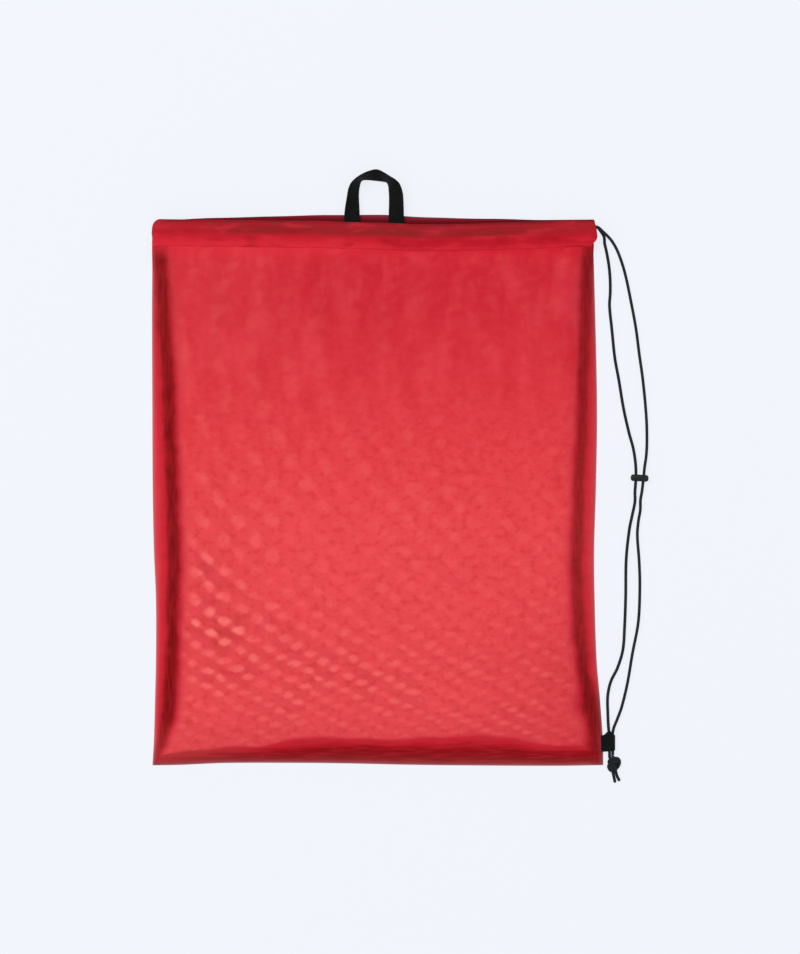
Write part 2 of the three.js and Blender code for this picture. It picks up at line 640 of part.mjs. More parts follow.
const leftSeam = sideSeamOutline(leftEdge, leftSeamReach, 1, bottomEdge(0));
const rightSeam = sideSeamOutline(rightEdge, rightSeamReach, -1, bottomEdge(1));
const tabSlot = new THREE.BoxGeometry(30, TAB_WIDTH + 2 * GAP, 3);
tabSlot.translate(TAB_ROOT - GAP + 15, TAB_TOP - TAB_WIDTH / 2, SEAM_HEIGHT + SEAM_THICKNESS / 2);
add("left_seam", plate(leftSeam, SEAM_HEIGHT, SEAM_THICKNESS), overlock);
add("right_seam", cut(plate(rightSeam, SEAM_HEIGHT, SEAM_THICKNESS), [tabSlot]), overlock);
add("bottom_seam", plate(bottomSeamOutline(), SEAM_HEIGHT, SEAM_THICKNESS), overlock);

add("hang_loop", sweep(loopStations()), webbing);
add("corner_tab", cornerTab(), webbing);

const frontRun = cordLine(FRONT_CASING, CASING_START, CASING_RIGHT - 1, 14);
const backRun = cordLine(BACK_CASING, CASING_START, CASING_RIGHT - 1.6, 12);
const turnLine = walk(Math.PI / 2, 1.5 * Math.PI, 8, (angle) => {
  const radius = TURN_RADIUS - cordInward(0);
  const x = CASING_START - GAP + radius * Math.cos(angle);
  return new THREE.Vector3(x, frontRun[0].y, TURN_RADIUS + radius * Math.sin(angle));
});
add("front_cord_run", cord(frontRun, 14), braid);
add("cord_turn", cord(turnLine, 10), braid);
add("back_cord_run", cord(backRun, 12), braid);

const strandStart = (run) => {
  const end = run.at(-1);
  return [GAP, 2].map((ahead) => new THREE.Vector3(end.x + ahead, end.y, end.z));
};
add("front_strand", cord([...strandStart(frontRun), ...FRONT_STRAND], 54), braid);
add("back_strand", cord([...strandStart(backRun), ...BACK_STRAND], 42), braid);
add("cord_knot", cordKnot(), braid);

const slider = add("cord_slider", cordSlider(), plastic);
slider.position.set(SLIDER.x, SLIDER.y, SLIDER_CORD_HEIGHT);

export default bag;
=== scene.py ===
import math
import bpy
import numpy as np
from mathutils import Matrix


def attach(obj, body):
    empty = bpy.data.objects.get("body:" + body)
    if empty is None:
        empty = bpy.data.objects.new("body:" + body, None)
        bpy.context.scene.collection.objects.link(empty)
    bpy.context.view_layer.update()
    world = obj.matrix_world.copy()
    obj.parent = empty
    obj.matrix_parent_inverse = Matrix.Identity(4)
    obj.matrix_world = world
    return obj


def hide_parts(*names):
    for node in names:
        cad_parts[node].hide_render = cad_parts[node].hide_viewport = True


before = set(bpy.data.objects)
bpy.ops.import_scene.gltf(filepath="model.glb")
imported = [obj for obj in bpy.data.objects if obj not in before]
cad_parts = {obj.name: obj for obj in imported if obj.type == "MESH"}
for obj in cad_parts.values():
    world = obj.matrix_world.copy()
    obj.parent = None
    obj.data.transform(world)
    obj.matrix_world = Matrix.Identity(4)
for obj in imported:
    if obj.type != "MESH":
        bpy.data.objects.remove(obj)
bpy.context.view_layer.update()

# Sizes in metres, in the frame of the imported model: +X across the bag, +Y to the mouth, +Z up
CLOTH = 0.0005
EDGE_HEIGHT = 0.0031
RIM_HEIGHT = 0.0009
BODY_HEIGHT = 0.013
ROLL_WIDTH = 0.046
MOUTH_ROLL_WIDTH = 0.018
BACK_HEIGHT = 0.0006
CORD_DIAMETER = 0.0028
CORD_PITCH = 0.0032
CASING_LEFT = -0.225
CASING_RIGHT = 0.219
CASING_WIDTH = 0.026
SEWN_STRIP = 0.004
TUNNEL = 0.0034
TUNNEL_LEAN = 1.8
FRONT_BULGE = 0.0012
TURN_RADIUS = 0.0084
CORNER_RADIUS = 0.0095
CASING_START = CASING_LEFT + TURN_RADIUS
WEBBING_WIDTH = 0.015
WEBBING_THICKNESS = 0.0012
TAB_THICKNESS = 0.0008
TAB_CORD_HEIGHT = 0.00265
BACK_CORD_X = 0.2318
FRONT_CORD_X = BACK_CORD_X + CORD_PITCH
MESH_PITCH = 0.00115
BRAID_PITCH = 0.0024
MERGE_DISTANCE = 0.00002
MOUTH_RISE_START = 0.13
HEM_LIFT = 0.03
RIGHT_LIFT = 0.012
RIM_WIDTH = 0.0018
PUCKER_HEIGHT = 0.00028
TIE_HEIGHT = 0.00022
PANEL_UNDER_HEM = 0.003
CASING_WALL = 0.001
HEM_OUTER = 0.0004
HEM_INNER = 0.0015
FOLD_LIP = 0.0004
CREASE_HEIGHT = 0.00016
STITCH_PITCH = 0.003
STITCH_THREAD = 0.0004
SEAM_CLOTH = 0.0007
SEAM_HEIGHT = 0.0016
SEAM_START = 0.0024
OVERLOCK_PITCH = 0.0026
OVERLOCK_THREAD = 0.0006
LOOP_HEIGHT = 0.0063
TAB_ROOT = 0.2175
TAB_EDGE = 0.226
SLIDER_PLACE = (0.2618, 0.012, 0.0033)
SLIDER_SIZE = (0.0178, 0.0068, 0.0064)
SLIDER_BEVEL = 0.0026
BORE_RADIUS = 0.00185
BORE_OFFSET = 0.0038

# Turn of the slider, shares of the cord's radius, and where the folded hem's profile turns over
SLIDER_TURN = math.radians(-3)
CORD_FULLNESS = 1.06
BRAID_RELIEF = 0.05
END_ROUNDING = 0.75
FOLD_START = 0.46
FOLD_END = 0.54

# Steps of the finer grids
HEM_COLUMNS = 260
HEM_ROWS = 60
LOOP_ROWS = 160

# Camera: place in metres, lens and sensor in millimetres
CAMERA_PLACE = (0.0225, 0.013, 2.65)
CAMERA_LENS = 100
CAMERA_SENSOR = 36

# Side edges from the bottom up: place on the bag, left and right edge, reach of the left and right seam
SIDES = [
    (-0.276, -0.225, 0.2257, 0.008, 0.011),
    (-0.250, -0.2235, 0.2253, 0.0105, 0.014),
    (-0.210, -0.2224, 0.2225, 0.017, 0.016),
    (-0.170, -0.2215, 0.2191, 0.0185, 0.0175),
    (-0.110, -0.2215, 0.2171, 0.020, 0.021),
    (-0.060, -0.2235, 0.2166, 0.022, 0.0205),
    (0.0, -0.2247, 0.2183, 0.023, 0.0195),
    (0.080, -0.2251, 0.2195, 0.0185, 0.0165),
    (0.190, -0.2254, 0.2173, 0.014, 0.013),
    (0.250, -0.2246, 0.2155, 0.012, 0.011),
]

# Bottom edge from left to right: share of the width, edge, reach of the seam
BOTTOM = [
    (0, -0.2752, 0.012),
    (0.06, -0.2748, 0.0125),
    (0.16, -0.2729, 0.013),
    (0.33, -0.2728, 0.016),
    (0.43, -0.2733, 0.018),
    (0.55, -0.2745, 0.0185),
    (0.66, -0.2752, 0.019),
    (0.9, -0.2757, 0.0175),
    (1, -0.275, 0.016),
]

# Dark strips that the seams show through the front: place on the bag, middle and half width on each side
SIDE_STRIPS = [
    (-0.276, -0.2240, 0.0034, 0.2185, 0.0070),
    (-0.262, -0.2198, 0.0042, 0.2178, 0.0078),
    (-0.248, -0.2150, 0.0050, 0.2175, 0.0080),
    (-0.232, -0.2105, 0.0060, 0.2168, 0.0084),
    (-0.214, -0.2080, 0.0064, 0.2128, 0.0100),
    (-0.202, -0.2068, 0.0065, 0.2098, 0.0080),
    (-0.188, -0.2060, 0.0065, 0.2068, 0.0058),
    (-0.160, -0.2050, 0.0062, 0.2034, 0.0062),
    (-0.110, -0.2038, 0.0062, 0.2000, 0.0060),
    (-0.060, -0.2033, 0.0064, 0.1990, 0.0055),
    (0.040, -0.2060, 0.0061, 0.2028, 0.0054),
    (0.100, -0.2082, 0.0062, 0.2046, 0.0049),
    (0.140, -0.2104, 0.0058, 0.2060, 0.0052),
    (0.165, -0.2122, 0.0062, 0.2072, 0.0056),
    (0.210, -0.2150, 0.0066, 0.2093, 0.0062),
    (0.250, -0.2172, 0.0066, 0.2105, 0.0056),
]

# How dark the strips are: place on the bag, left and right
STRIP_DEPTH = [
    (-0.276, 0.72, 0.90),
    (-0.250, 0.80, 0.90),
    (-0.225, 1.00, 0.95),
    (-0.190, 1.00, 0.94),
    (-0.150, 0.99, 0.85),
    (-0.080, 0.97, 0.80),
    (0.040, 0.97, 0.80),
    (0.100, 1.00, 0.84),
    (0.160, 1.00, 0.84),
    (0.222, 0.98, 0.90),
    (0.231, 0.92, 0.88),
    (0.240, 0.50, 0.72),
    (0.245, 0.34, 0.60),
]

# The same along the bottom: share of the width, reach of the dark strip and of the tint above it
BOTTOM_STRIP = [
    (0, 0.0045, 0.0115),
    (0.06, 0.0060, 0.0145),
    (0.19, 0.0106, 0.0195),
    (0.25, 0.0118, 0.0192),
    (0.32, 0.0140, 0.0290),
    (0.43, 0.0180, 0.0290),
    (0.54, 0.0178, 0.0280),
    (0.61, 0.0180, 0.0315),
    (0.75, 0.0183, 0.0345),
    (0.88, 0.0150, 0.0240),
    (1, 0.0150, 0.0240),
]

# Moire of the two mesh layers: rows that fall to the right cross rows that rise to the right. Turns of
# the wave a metre across and along, and how the rows close up downwards and fan out
FALLING_ROWS = {"across": -30, "along": -24, "close": 80}
RISING_ROWS = {"across": 27, "along": -33, "close": 30, "crowd": -330, "fan": -75}

# Where the moire is clear: middle, reach across and along, strength
DOT_PATCHES = [
    (-0.172, -0.146, 0.046, 0.032, 0.44),
    (-0.172, -0.090, 0.050, 0.034, 0.29),
    (-0.110, -0.150, 0.090, 0.050, 0.11),
    (-0.090, -0.200, 0.140, 0.030, 0.11),
    (-0.010, -0.182, 0.090, 0.030, 0.08),
    (-0.160, 0.100, 0.080, 0.130, 0.04),
    (-0.168, 0.000, 0.045, 0.065, 0.07),
    (0.090, -0.225, 0.090, 0.030, 0.05),
    (0.155, -0.185, 0.050, 0.050, 0.05),
    (-0.030, 0.030, 0.120, 0.080, 0.02),
]

# Mouth from left to right: share of the width, front fold, back fold, height of the front casing
MOUTH = [
    (0, 0.269, 0.269, 2 * TURN_RADIUS),
    (0.12, 0.2680, 0.2712, 0.0178),
    (0.36, 0.2666, 0.2740, 0.0188),
    (0.50, 0.2650, 0.2744, 0.0188),
    (0.60, 0.2636, 0.2722, 0.0182),
    (0.78, 0.2650, 0.2702, 0.0158),
    (0.92, 0.2676, 0.2694, 0.0132),
    (1, 0.2686, 0.2698, 0.0118),
]

# Right end of a casing: distance up from the lower edge, and how far the cloth draws back
CASING_END = [
    (0, -0.006),
    (0.003, -0.004),
    (0.006, -0.0012),
    (0.0095, 0),
    (0.014, -0.0004),
    (0.020, -0.0016),
    (0.026, -0.003),
]

# Soft folds of the front panel: middle, reach along and across, lean from upright in degrees, height
FOLDS = [
    (-0.168, 0.185, 0.095, 0.013, 3, 0.0011),
    (-0.120, 0.170, 0.120, 0.015, -3, 0.0013),
    (-0.062, 0.180, 0.105, 0.014, 4, 0.0010),
    (0.004, 0.160, 0.120, 0.018, -2, -0.0011),
    (0.082, 0.175, 0.100, 0.015, 5, 0.0011),
    (0.148, 0.165, 0.110, 0.014, -4, 0.0012),
    (-0.135, -0.130, 0.110, 0.026, 58, -0.0012),
    (0.030, -0.175, 0.120, 0.024, 74, 0.0012),
    (0.182, -0.196, 0.046, 0.009, -38, 0.0014),
]

# Free strand from the back casing to the knot, by way of the slider and the corner tab
BACK_STRAND = [
    (0.2177, 0.2628, 0.0027),
    (0.2194, 0.2628, 0.0027),
    (0.2230, 0.2586, 0.0025),
    (0.2264, 0.2530, 0.0020),
    (0.2270, 0.2465, 0.0016),
    (0.2290, 0.2375, 0.0015),
    (0.2313, 0.2240, 0.0015),
    (0.2325, 0.2105, 0.0015),
    (0.2326, 0.1970, 0.0015),
    (0.2319, 0.1840, 0.0015),
    (0.2342, 0.1607, 0.0015),
    (0.2372, 0.1320, 0.0015),
    (0.2410, 0.1110, 0.0015),
    (0.2460, 0.0810, 0.0015),
    (0.2514, 0.0570, 0.0016),
    (0.2556, 0.0413, 0.0021),
    (0.2578, 0.0260, 0.0030),
    (0.2581, 0.0120, 0.0033),
    (0.2572, -0.0020, 0.0030),
    (0.2572, -0.0120, 0.0021),
    (0.2544, -0.0260, 0.0016),
    (0.2517, -0.0395, 0.0015),
    (0.2486, -0.0690, 0.0015),
    (0.2480, -0.1080, 0.0015),
    (0.2468, -0.1400, 0.0015),
    (0.2452, -0.1600, 0.0015),
    (0.2400, -0.1775, 0.0015),
    (0.2332, -0.1915, 0.0015),
    (0.2301, -0.2060, 0.0015),
    (0.2302, -0.2240, 0.0017),
    (0.2307, -0.2360, 0.0024),
    (0.2316, -0.2450, TAB_CORD_HEIGHT),
    (BACK_CORD_X, -0.2540, TAB_CORD_HEIGHT),
    (BACK_CORD_X, -0.2650, TAB_CORD_HEIGHT),
]

# Free strand from the front casing to the knot
FRONT_STRAND = [
    (0.2183, 0.2616, 0.0097),
    (0.2200, 0.2616, 0.0097),
    (0.2240, 0.2582, 0.0088),
    (0.2290, 0.2538, 0.0069),
    (0.2336, 0.2490, 0.0048),
    (0.2392, 0.2400, 0.0025),
    (0.2446, 0.2260, 0.0016),
    (0.2488, 0.2105, 0.0015),
    (0.2530, 0.1900, 0.0015),
    (0.2582, 0.1620, 0.0015),
    (0.2616, 0.1360, 0.0015),
    (0.2652, 0.1100, 0.0015),
    (0.2686, 0.0740, 0.0015),
    (0.2693, 0.0500, 0.0016),
    (0.2686, 0.0350, 0.0022),
    (0.2668, 0.0225, 0.0030),
    (0.2657, 0.0120, 0.0033),
    (0.2642, -0.0010, 0.0030),
    (0.2628, -0.0100, 0.0022),
    (0.2626, -0.0200, 0.0017),
    (0.2608, -0.0310, 0.0015),
    (0.2597, -0.0450, 0.0015),
    (0.2616, -0.0730, 0.0015),
    (0.2622, -0.0987, 0.0015),
    (0.2606, -0.1323, 0.0015),
    (0.2547, -0.1640, 0.0015),
    (0.2497, -0.1936, 0.0015),
    (0.2440, -0.2170, 0.0016),
    (0.2396, -0.2290, 0.0021),
    (0.2363, -0.2370, 0.0025),
    (FRONT_CORD_X, -0.2430, TAB_CORD_HEIGHT),
    (FRONT_CORD_X, -0.2540, TAB_CORD_HEIGHT),
    (FRONT_CORD_X, -0.2650, TAB_CORD_HEIGHT),
]

# Knot below the tab: how far down, right and up the pair runs, and its spread
KNOT_X = (BACK_CORD_X + FRONT_CORD_X) / 2
KNOT_TOP = -0.2653
KNOT = [
    (0, 0, TAB_CORD_HEIGHT, 1),
    (0.0012, 0, TAB_CORD_HEIGHT, 1),
    (0.0036, 0.0016, 0.0036, 1),
    (0.0070, 0.0014, 0.0049, 0.9),
    (0.0106, -0.0014, 0.0044, 0.9),
    (0.0136, 0.0002, 0.0026, 0.9),
    (0.0120, 0.0044, 0.0020, 0.9),
    (0.0074, 0.0070, 0.0026, 0.9),
    (0.0042, 0.0062, 0.0048, 0.9),
    (0.0036, 0.0026, 0.0068, 0.9),
    (0.0054, -0.0008, 0.0054, 0.9),
    (0.0086, 0, 0.0019, 0.9),
    (0.0128, 0.0022, 0.0050, 0.9),
    (0.0172, 0.0034, 0.0032, 0.95),
    (0.0216, 0.0046, 0.0016, 1.05),
    (0.0264, 0.0064, 0.0015, 1.5),
]

# Hanging loop along the webbing: inner edge and outer edge, seen from above
LOOP = [
    (-0.0176, 0.2560, -0.0332, 0.2560),
    (-0.0177, 0.2760, -0.0330, 0.2760),
    (-0.0188, 0.2912, -0.0302, 0.2912),
    (-0.0186, 0.2995, -0.0286, 0.2998),
    (-0.0176, 0.3053, -0.0256, 0.3058),
    (-0.0164, 0.3087, -0.0206, 0.3105),
    (-0.0136, 0.3101, -0.0150, 0.3140),
    (-0.0080, 0.3100, -0.0086, 0.3170),
    (-0.0010, 0.3091, -0.0006, 0.3188),
    (0.0054, 0.3085, 0.0064, 0.3156),
    (0.0096, 0.3073, 0.0120, 0.3120),
    (0.0112, 0.3032, 0.0176, 0.3088),
    (0.0115, 0.2983, 0.0224, 0.3041),
    (0.0117, 0.2931, 0.0252, 0.2956),
    (0.0116, 0.2854, 0.0260, 0.2854),
    (0.0112, 0.2760, 0.0264, 0.2760),
    (0.0112, 0.2560, 0.0266, 0.2560),
]

# Corner tab: place across, upper and lower edge
TAB_EDGES = [
    (TAB_ROOT, -0.2454, -0.2615),
    (TAB_EDGE, -0.2448, -0.2615),
    (BACK_CORD_X, -0.2408, -0.2608),
    (0.2372, -0.2452, -0.2600),
]

# Stitches of the hem: share of a stitch, height over the casing
STITCH_STEPS = [(0.0, -0.0006), (0.25, -0.0002), (0.7, -0.0002), (0.95, -0.0006)]

# Overlock stitches: share of a stitch, distance back from the seam's inner edge, height
OVERLOCK_STEPS = [(0.0, -0.0003, 0.0018), (0.3, 0.0002, 0.0023), (0.6, 0.0042, 0.0024)]

# Small waves in the cloth: their lengths, and their phases
PUCKERS = ((0.017, 0.0113, 0.029), (0.4, 2.1, 4.0))
SIDE_TIES = ((0.021, 0.037, 0.0127), (1.0, 3.1, 0.2))
LOW_TIES = ((0.027, 0.043), (2.0, 0.7))
SAG_ACROSS = ((0.061, 0.083), (0.3, 1.9))
SAG_ALONG = ((0.071, 0.097), (2.2, 0.5))
HEM_CREASES = ((0.019, 0.0123, 0.041), (1.2, 0.3, 2.6))
TUNNEL_CREASES = ((0.026, 0.0157), (0.9, 3.3))
HEM_WANDER = ((0.093, 0.061), (0.0, 1.0))
SEAM_RIPPLE = ((0.019, 0.031), (0.0, 1.0))
SIDE_STRIP_WANDER = ((0.09, 0.037), (0.2, 1.7))
LOW_STRIP_WANDER = ((0.11, 0.047), (0.4, 2.2))


# Camera straight above the bag
def set_camera():
    view = bpy.data.cameras.new("camera")
    view.lens = CAMERA_LENS
    view.sensor_width = CAMERA_SENSOR
    camera = bpy.data.objects.new("camera", view)
    camera.location = CAMERA_PLACE
    bpy.context.collection.objects.link(camera)
    bpy.context.scene.camera = camera


# Curves and small sums
def between(first, second, share):
    return first + (second - first) * share


def unit(value):
    return np.clip(value, 0, 1)


def smooth_step(value, low, high):
    share = unit((value - low) / (high - low))
    return share * share * (3 - 2 * share)


def curve_through(rows, column):
    keys = np.array([row[0] for row in rows], dtype=float)
    values = np.array([row[column] for row in rows], dtype=float)
    last = len(rows) - 1
    before = np.maximum(np.arange(last + 1) - 1, 0)
    after = np.minimum(np.arange(last + 1) + 1, last)
    slopes = (values[after] - values[before]) / (keys[after] - keys[before])

    def at(place):
        held = np.clip(place, keys[0], keys[-1])
        i = np.clip(np.searchsorted(keys, held) - 1, 0, last - 1)
        span = keys[i + 1] - keys[i]
        s = (held - keys[i]) / span
        near = 1 - s
        ends = (1 + 2 * s) * near**2 * values[i] + (1 + 2 * near) * s**2 * values[i + 1]
        return ends + s * near * span * (near * slopes[i] - s * slopes[i + 1])

    return at


def curves_of(rows):
    return [curve_through(rows, column) for column in range(1, len(rows[0]))]


def line_through(rows, places):
    return np.column_stack([curve(places) for curve in curves_of(rows)])


left_edge, right_edge, left_seam_reach, right_seam_reach = curves_of(SIDES)
bottom_edge, bottom_seam_reach = curves_of(BOTTOM)
left_strip, left_strip_half, right_strip, right_strip_half = curves_of(SIDE_STRIPS)
left_depth, right_depth = curves_of(STRIP_DEPTH)
low_strip, low_tint = curves_of(BOTTOM_STRIP)
front_fold, back_fold, mouth_height = curves_of(MOUTH)
casing_end = curve_through(CASING_END, 1)


def mouth_share(x):
    return (x - CASING_START) / (CASING_RIGHT - CASING_START)


def crowded(share, amount):
    return share - amount * np.sin(2 * np.pi * share) / (2 * np.pi)


def waves(place, parts):
    return sum(np.sin(2 * np.pi * place / length + phase) for length, phase in zip(*parts))


def bell(distance, width):
    return np.exp(-((distance / width) ** 2))


def run_along(points):
    return np.concatenate(([0], np.cumsum(np.linalg.norm(np.diff(points, axis=0), axis=1))))


# Making and finishing pieces
def deselect_all():
    bpy.ops.object.select_all(action="DESELECT")


def make_active(piece):
    deselect_all()
    piece.select_set(True)
    bpy.context.view_layer.objects.active = piece


def shaped_grid(name, columns, rows, surface):
    deselect_all()
    bpy.ops.mesh.primitive_grid_add(x_subdivisions=columns, y_subdivisions=rows, size=1)
    piece = bpy.context.object
    piece.name = name
    across, along = vertex_places(piece)
    places = surface(across + 0.5, along + 0.5)
    piece.data.vertices.foreach_set("co", np.column_stack(places).ravel())
    piece.data.update()
    bpy.ops.object.shade_smooth()
    return piece


def vertex_places(piece):
    flat = np.empty(len(piece.data.vertices) * 3)
    piece.data.vertices.foreach_get("co", flat)
    return flat[0::3], flat[1::3]


def set_attribute(piece, name, values):
    attribute = piece.data.attributes.new(name, "FLOAT", "POINT")
    attribute.data.foreach_set("value", np.ascontiguousarray(values, dtype=np.float32))


def apply_modifier(piece, modifier):
    make_active(piece)
    bpy.ops.object.modifier_apply(modifier=modifier.name)


def thicken(piece, thickness):
    solidify = piece.modifiers.new("cloth thickness", "SOLIDIFY")
    solidify.thickness = thickness
    solidify.offset = 0
    apply_modifier(piece, solidify)


def finish_piece(piece, material, slot, *nodes):
    piece.data.materials.clear()
    piece.data.materials.append(material)
    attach(piece, "root")
    if nodes:
        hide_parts(*nodes)


def smooth_line(points, step):
    points = np.array(points, dtype=float)
    run = run_along(points)
    places = np.linspace(0, run[-1], max(int(run[-1] / step), 4) + 1)
    return line_through(np.column_stack((run, points)), places)


# Braided tube along a line, with the relief of the braid in its surface
def cord_tube(name, line, sides, rounded_end):
    along = np.gradient(line, axis=0)
    along /= np.linalg.norm(along, axis=1)[:, None]
    sideways = np.empty_like(line)
    sideways[0] = np.cross(along[0], (0.0, 0.0, 1.0))
    for i in range(1, len(line)):
        carried = sideways[i - 1] - along[i] * np.dot(sideways[i - 1], along[i])
        sideways[i] = carried / np.linalg.norm(carried)
    sideways[0] /= np.linalg.norm(sideways[0])
    upward = np.cross(sideways, along)
    run = run_along(line)
    rings = len(line) - 1

    def surface(across, share):
        ring = np.rint(share * rings).astype(int)
        angle = across * 2 * np.pi
        lay = run[ring] * (np.pi / BRAID_PITCH)
        relief = np.cos(3 * angle + lay) * np.cos(3 * angle - lay)
        radius = CORD_DIAMETER / 2 * (CORD_FULLNESS + BRAID_RELIEF * relief)
        if rounded_end:
            left = (run[-1] - run[ring]) / (CORD_DIAMETER / 2)
            radius = radius * np.sqrt(unit(1 - (1 - np.minimum(left, 1)) ** 2 * END_ROUNDING))
        place = line[ring] + (np.cos(angle) * radius)[:, None] * sideways[ring]
        return (place + (np.sin(angle) * radius)[:, None] * upward[ring]).T

    tube = shaped_grid(name, sides, rings, surface)
    uv = tube.data.uv_layers.active.data
    flat = np.empty(len(uv) * 2)
    uv.foreach_get("uv", flat)
    flat[1::2] *= run[-1] / (np.pi * CORD_DIAMETER)
    uv.foreach_set("uv", flat)
    bpy.ops.object.mode_set(mode="EDIT")
    bpy.ops.mesh.select_all(action="SELECT")
    bpy.ops.mesh.remove_doubles(threshold=MERGE_DISTANCE)
    bpy.ops.mesh.fill_holes(sides=0)
    bpy.ops.mesh.normals_make_consistent(inside=False)
    bpy.ops.object.mode_set(mode="OBJECT")
    return tube


# Sewing thread along a line of points
def thread(name, points, thickness):
    data = bpy.data.curves.new(name, "CURVE")
    data.dimensions = "3D"
    data.bevel_depth = thickness / 2
    data.bevel_resolution = 1
    data.use_fill_caps = True
    spline = data.splines.new("POLY")
    spline.points.add(len(points) - 1)
    for point, place in zip(spline.points, points):
        point.co = (*place, 1)
    piece = bpy.data.objects.new(name, data)
    bpy.context.collection.objects.link(piece)
    make_active(piece)
    bpy.ops.object.convert(target="MESH")
    piece = bpy.context.object
    bpy.ops.object.shade_smooth()
    return piece


# Material nodes
def tone(red, green, blue):
    shares = [value / 255 for value in (red, green, blue)]
    linear = [s / 12.92 if s <= 0.04045 else ((s + 0.055) / 1.055) ** 2.4 for s in shares]
    return (*linear, 1)


def feed(tree, value, socket):
    if isinstance(value, bpy.types.NodeSocket):
        tree.links.new(value, socket)
    else:
        socket.default_value = value


def set_inputs(node, values):
    for name, value in values.items():
        node.inputs[name].default_value = value


def maths(tree, operation, first, second=0.0):
    node = tree.nodes.new("ShaderNodeMath")
    node.operation = operation
    feed(tree, first, node.inputs[0])
    feed(tree, second, node.inputs[1])
    return node.outputs[0]


def times(tree, first, second):
    return maths(tree, "MULTIPLY", first, second)


def map_range(tree, value, low, high, to_low=0.0, to_high=1.0):
    node = tree.nodes.new("ShaderNodeMapRange")
    node.interpolation_type = "SMOOTHSTEP"
    for i, given in enumerate((value, low, high, to_low, to_high)):
        feed(tree, given, node.inputs[i])
    return node.outputs[0]


def mix_tones(tree, share, first, second, blend="MIX"):
    node = tree.nodes.new("ShaderNodeMix")
    node.data_type = "RGBA"
    node.blend_type = blend
    feed(tree, share, node.inputs[0])
    feed(tree, first, node.inputs[6])
    feed(tree, second, node.inputs[7])
    return node.outputs[2]


def tinted(tree, cloth, level, low, high, amount, colour):
    return mix_tones(tree, map_range(tree, level, low, high, 0.0, amount), cloth, colour)


def ramp(tree, share, stops):
    node = tree.nodes.new("ShaderNodeValToRGB")
    elements = node.color_ramp.elements
    while len(elements) < len(stops):
        elements.new(1)
    for element, (place, colour) in zip(elements, stops):
        element.position = place
        element.color = colour
    feed(tree, share, node.inputs[0])
    return node.outputs[0]


def tone_ramp(tree, share, stops):
    return ramp(tree, share, [(place, tone(*levels)) for place, *levels in stops])


def grey_ramp(tree, share, stops):
    return ramp(tree, share, [(place, (value, value, value, 1)) for place, value in stops])


def read_attribute(tree, name):
    node = tree.nodes.new("ShaderNodeAttribute")
    node.attribute_name = name
    return node.outputs["Fac"]


def mapped(tree, output, scale, turn=0.0):
    coordinates = tree.nodes.new("ShaderNodeTexCoord")
    mapping = tree.nodes.new("ShaderNodeMapping")
    set_inputs(mapping, {"Scale": scale, "Rotation": (0, 0, turn)})
    tree.links.new(coordinates.outputs[output], mapping.inputs["Vector"])
    return mapping.outputs[0]


def noise(tree, scale, detail, stretch=(1, 1, 1)):
    node = tree.nodes.new("ShaderNodeTexNoise")
    set_inputs(node, {"Scale": scale, "Detail": detail})
    tree.links.new(mapped(tree, "Object", stretch), node.inputs["Vector"])
    return node.outputs[0]


def jittered(tree, name, scale, detail, amount):
    jitter = maths(tree, "SUBTRACT", noise(tree, scale, detail), 0.5)
    return maths(tree, "ADD", read_attribute(tree, name), times(tree, jitter, amount))


def axes(tree, output="Object", turn=0.0):
    node = tree.nodes.new("ShaderNodeSeparateXYZ")
    tree.links.new(mapped(tree, output, (1, 1, 1), turn), node.inputs[0])
    return node.outputs[0], node.outputs[1]


def wave(tree, place, turns):
    return maths(tree, "SINE", times(tree, place, 2 * math.pi * turns))


def new_finish(name, roughness, specular, sheen):
    material = bpy.data.materials.new(name)
    material.use_nodes = True
    shader = material.node_tree.nodes["Principled BSDF"]
    set_inputs(shader, {"Roughness": roughness, "Specular IOR Level": specular, "Sheen Weight": sheen})
    return material, material.node_tree, shader


def dress(tree, shader, colour, height, strength, distance):
    tree.links.new(colour, shader.inputs["Base Color"])
    bump = tree.nodes.new("ShaderNodeBump")
    set_inputs(bump, {"Strength": strength, "Distance": distance})
    tree.links.new(height, bump.inputs["Height"])
    tree.links.new(bump.outputs[0], shader.inputs["Normal"])


# Open mesh: round holes in staggered rows, 1 in the middle of a hole
def mesh_holes(tree, turn=0.0):
    ways = axes(tree, turn=turn)
    rows = [maths(tree, "COSINE", times(tree, way, 2 * math.pi / MESH_PITCH)) for way in ways]
    return times(tree, *rows)


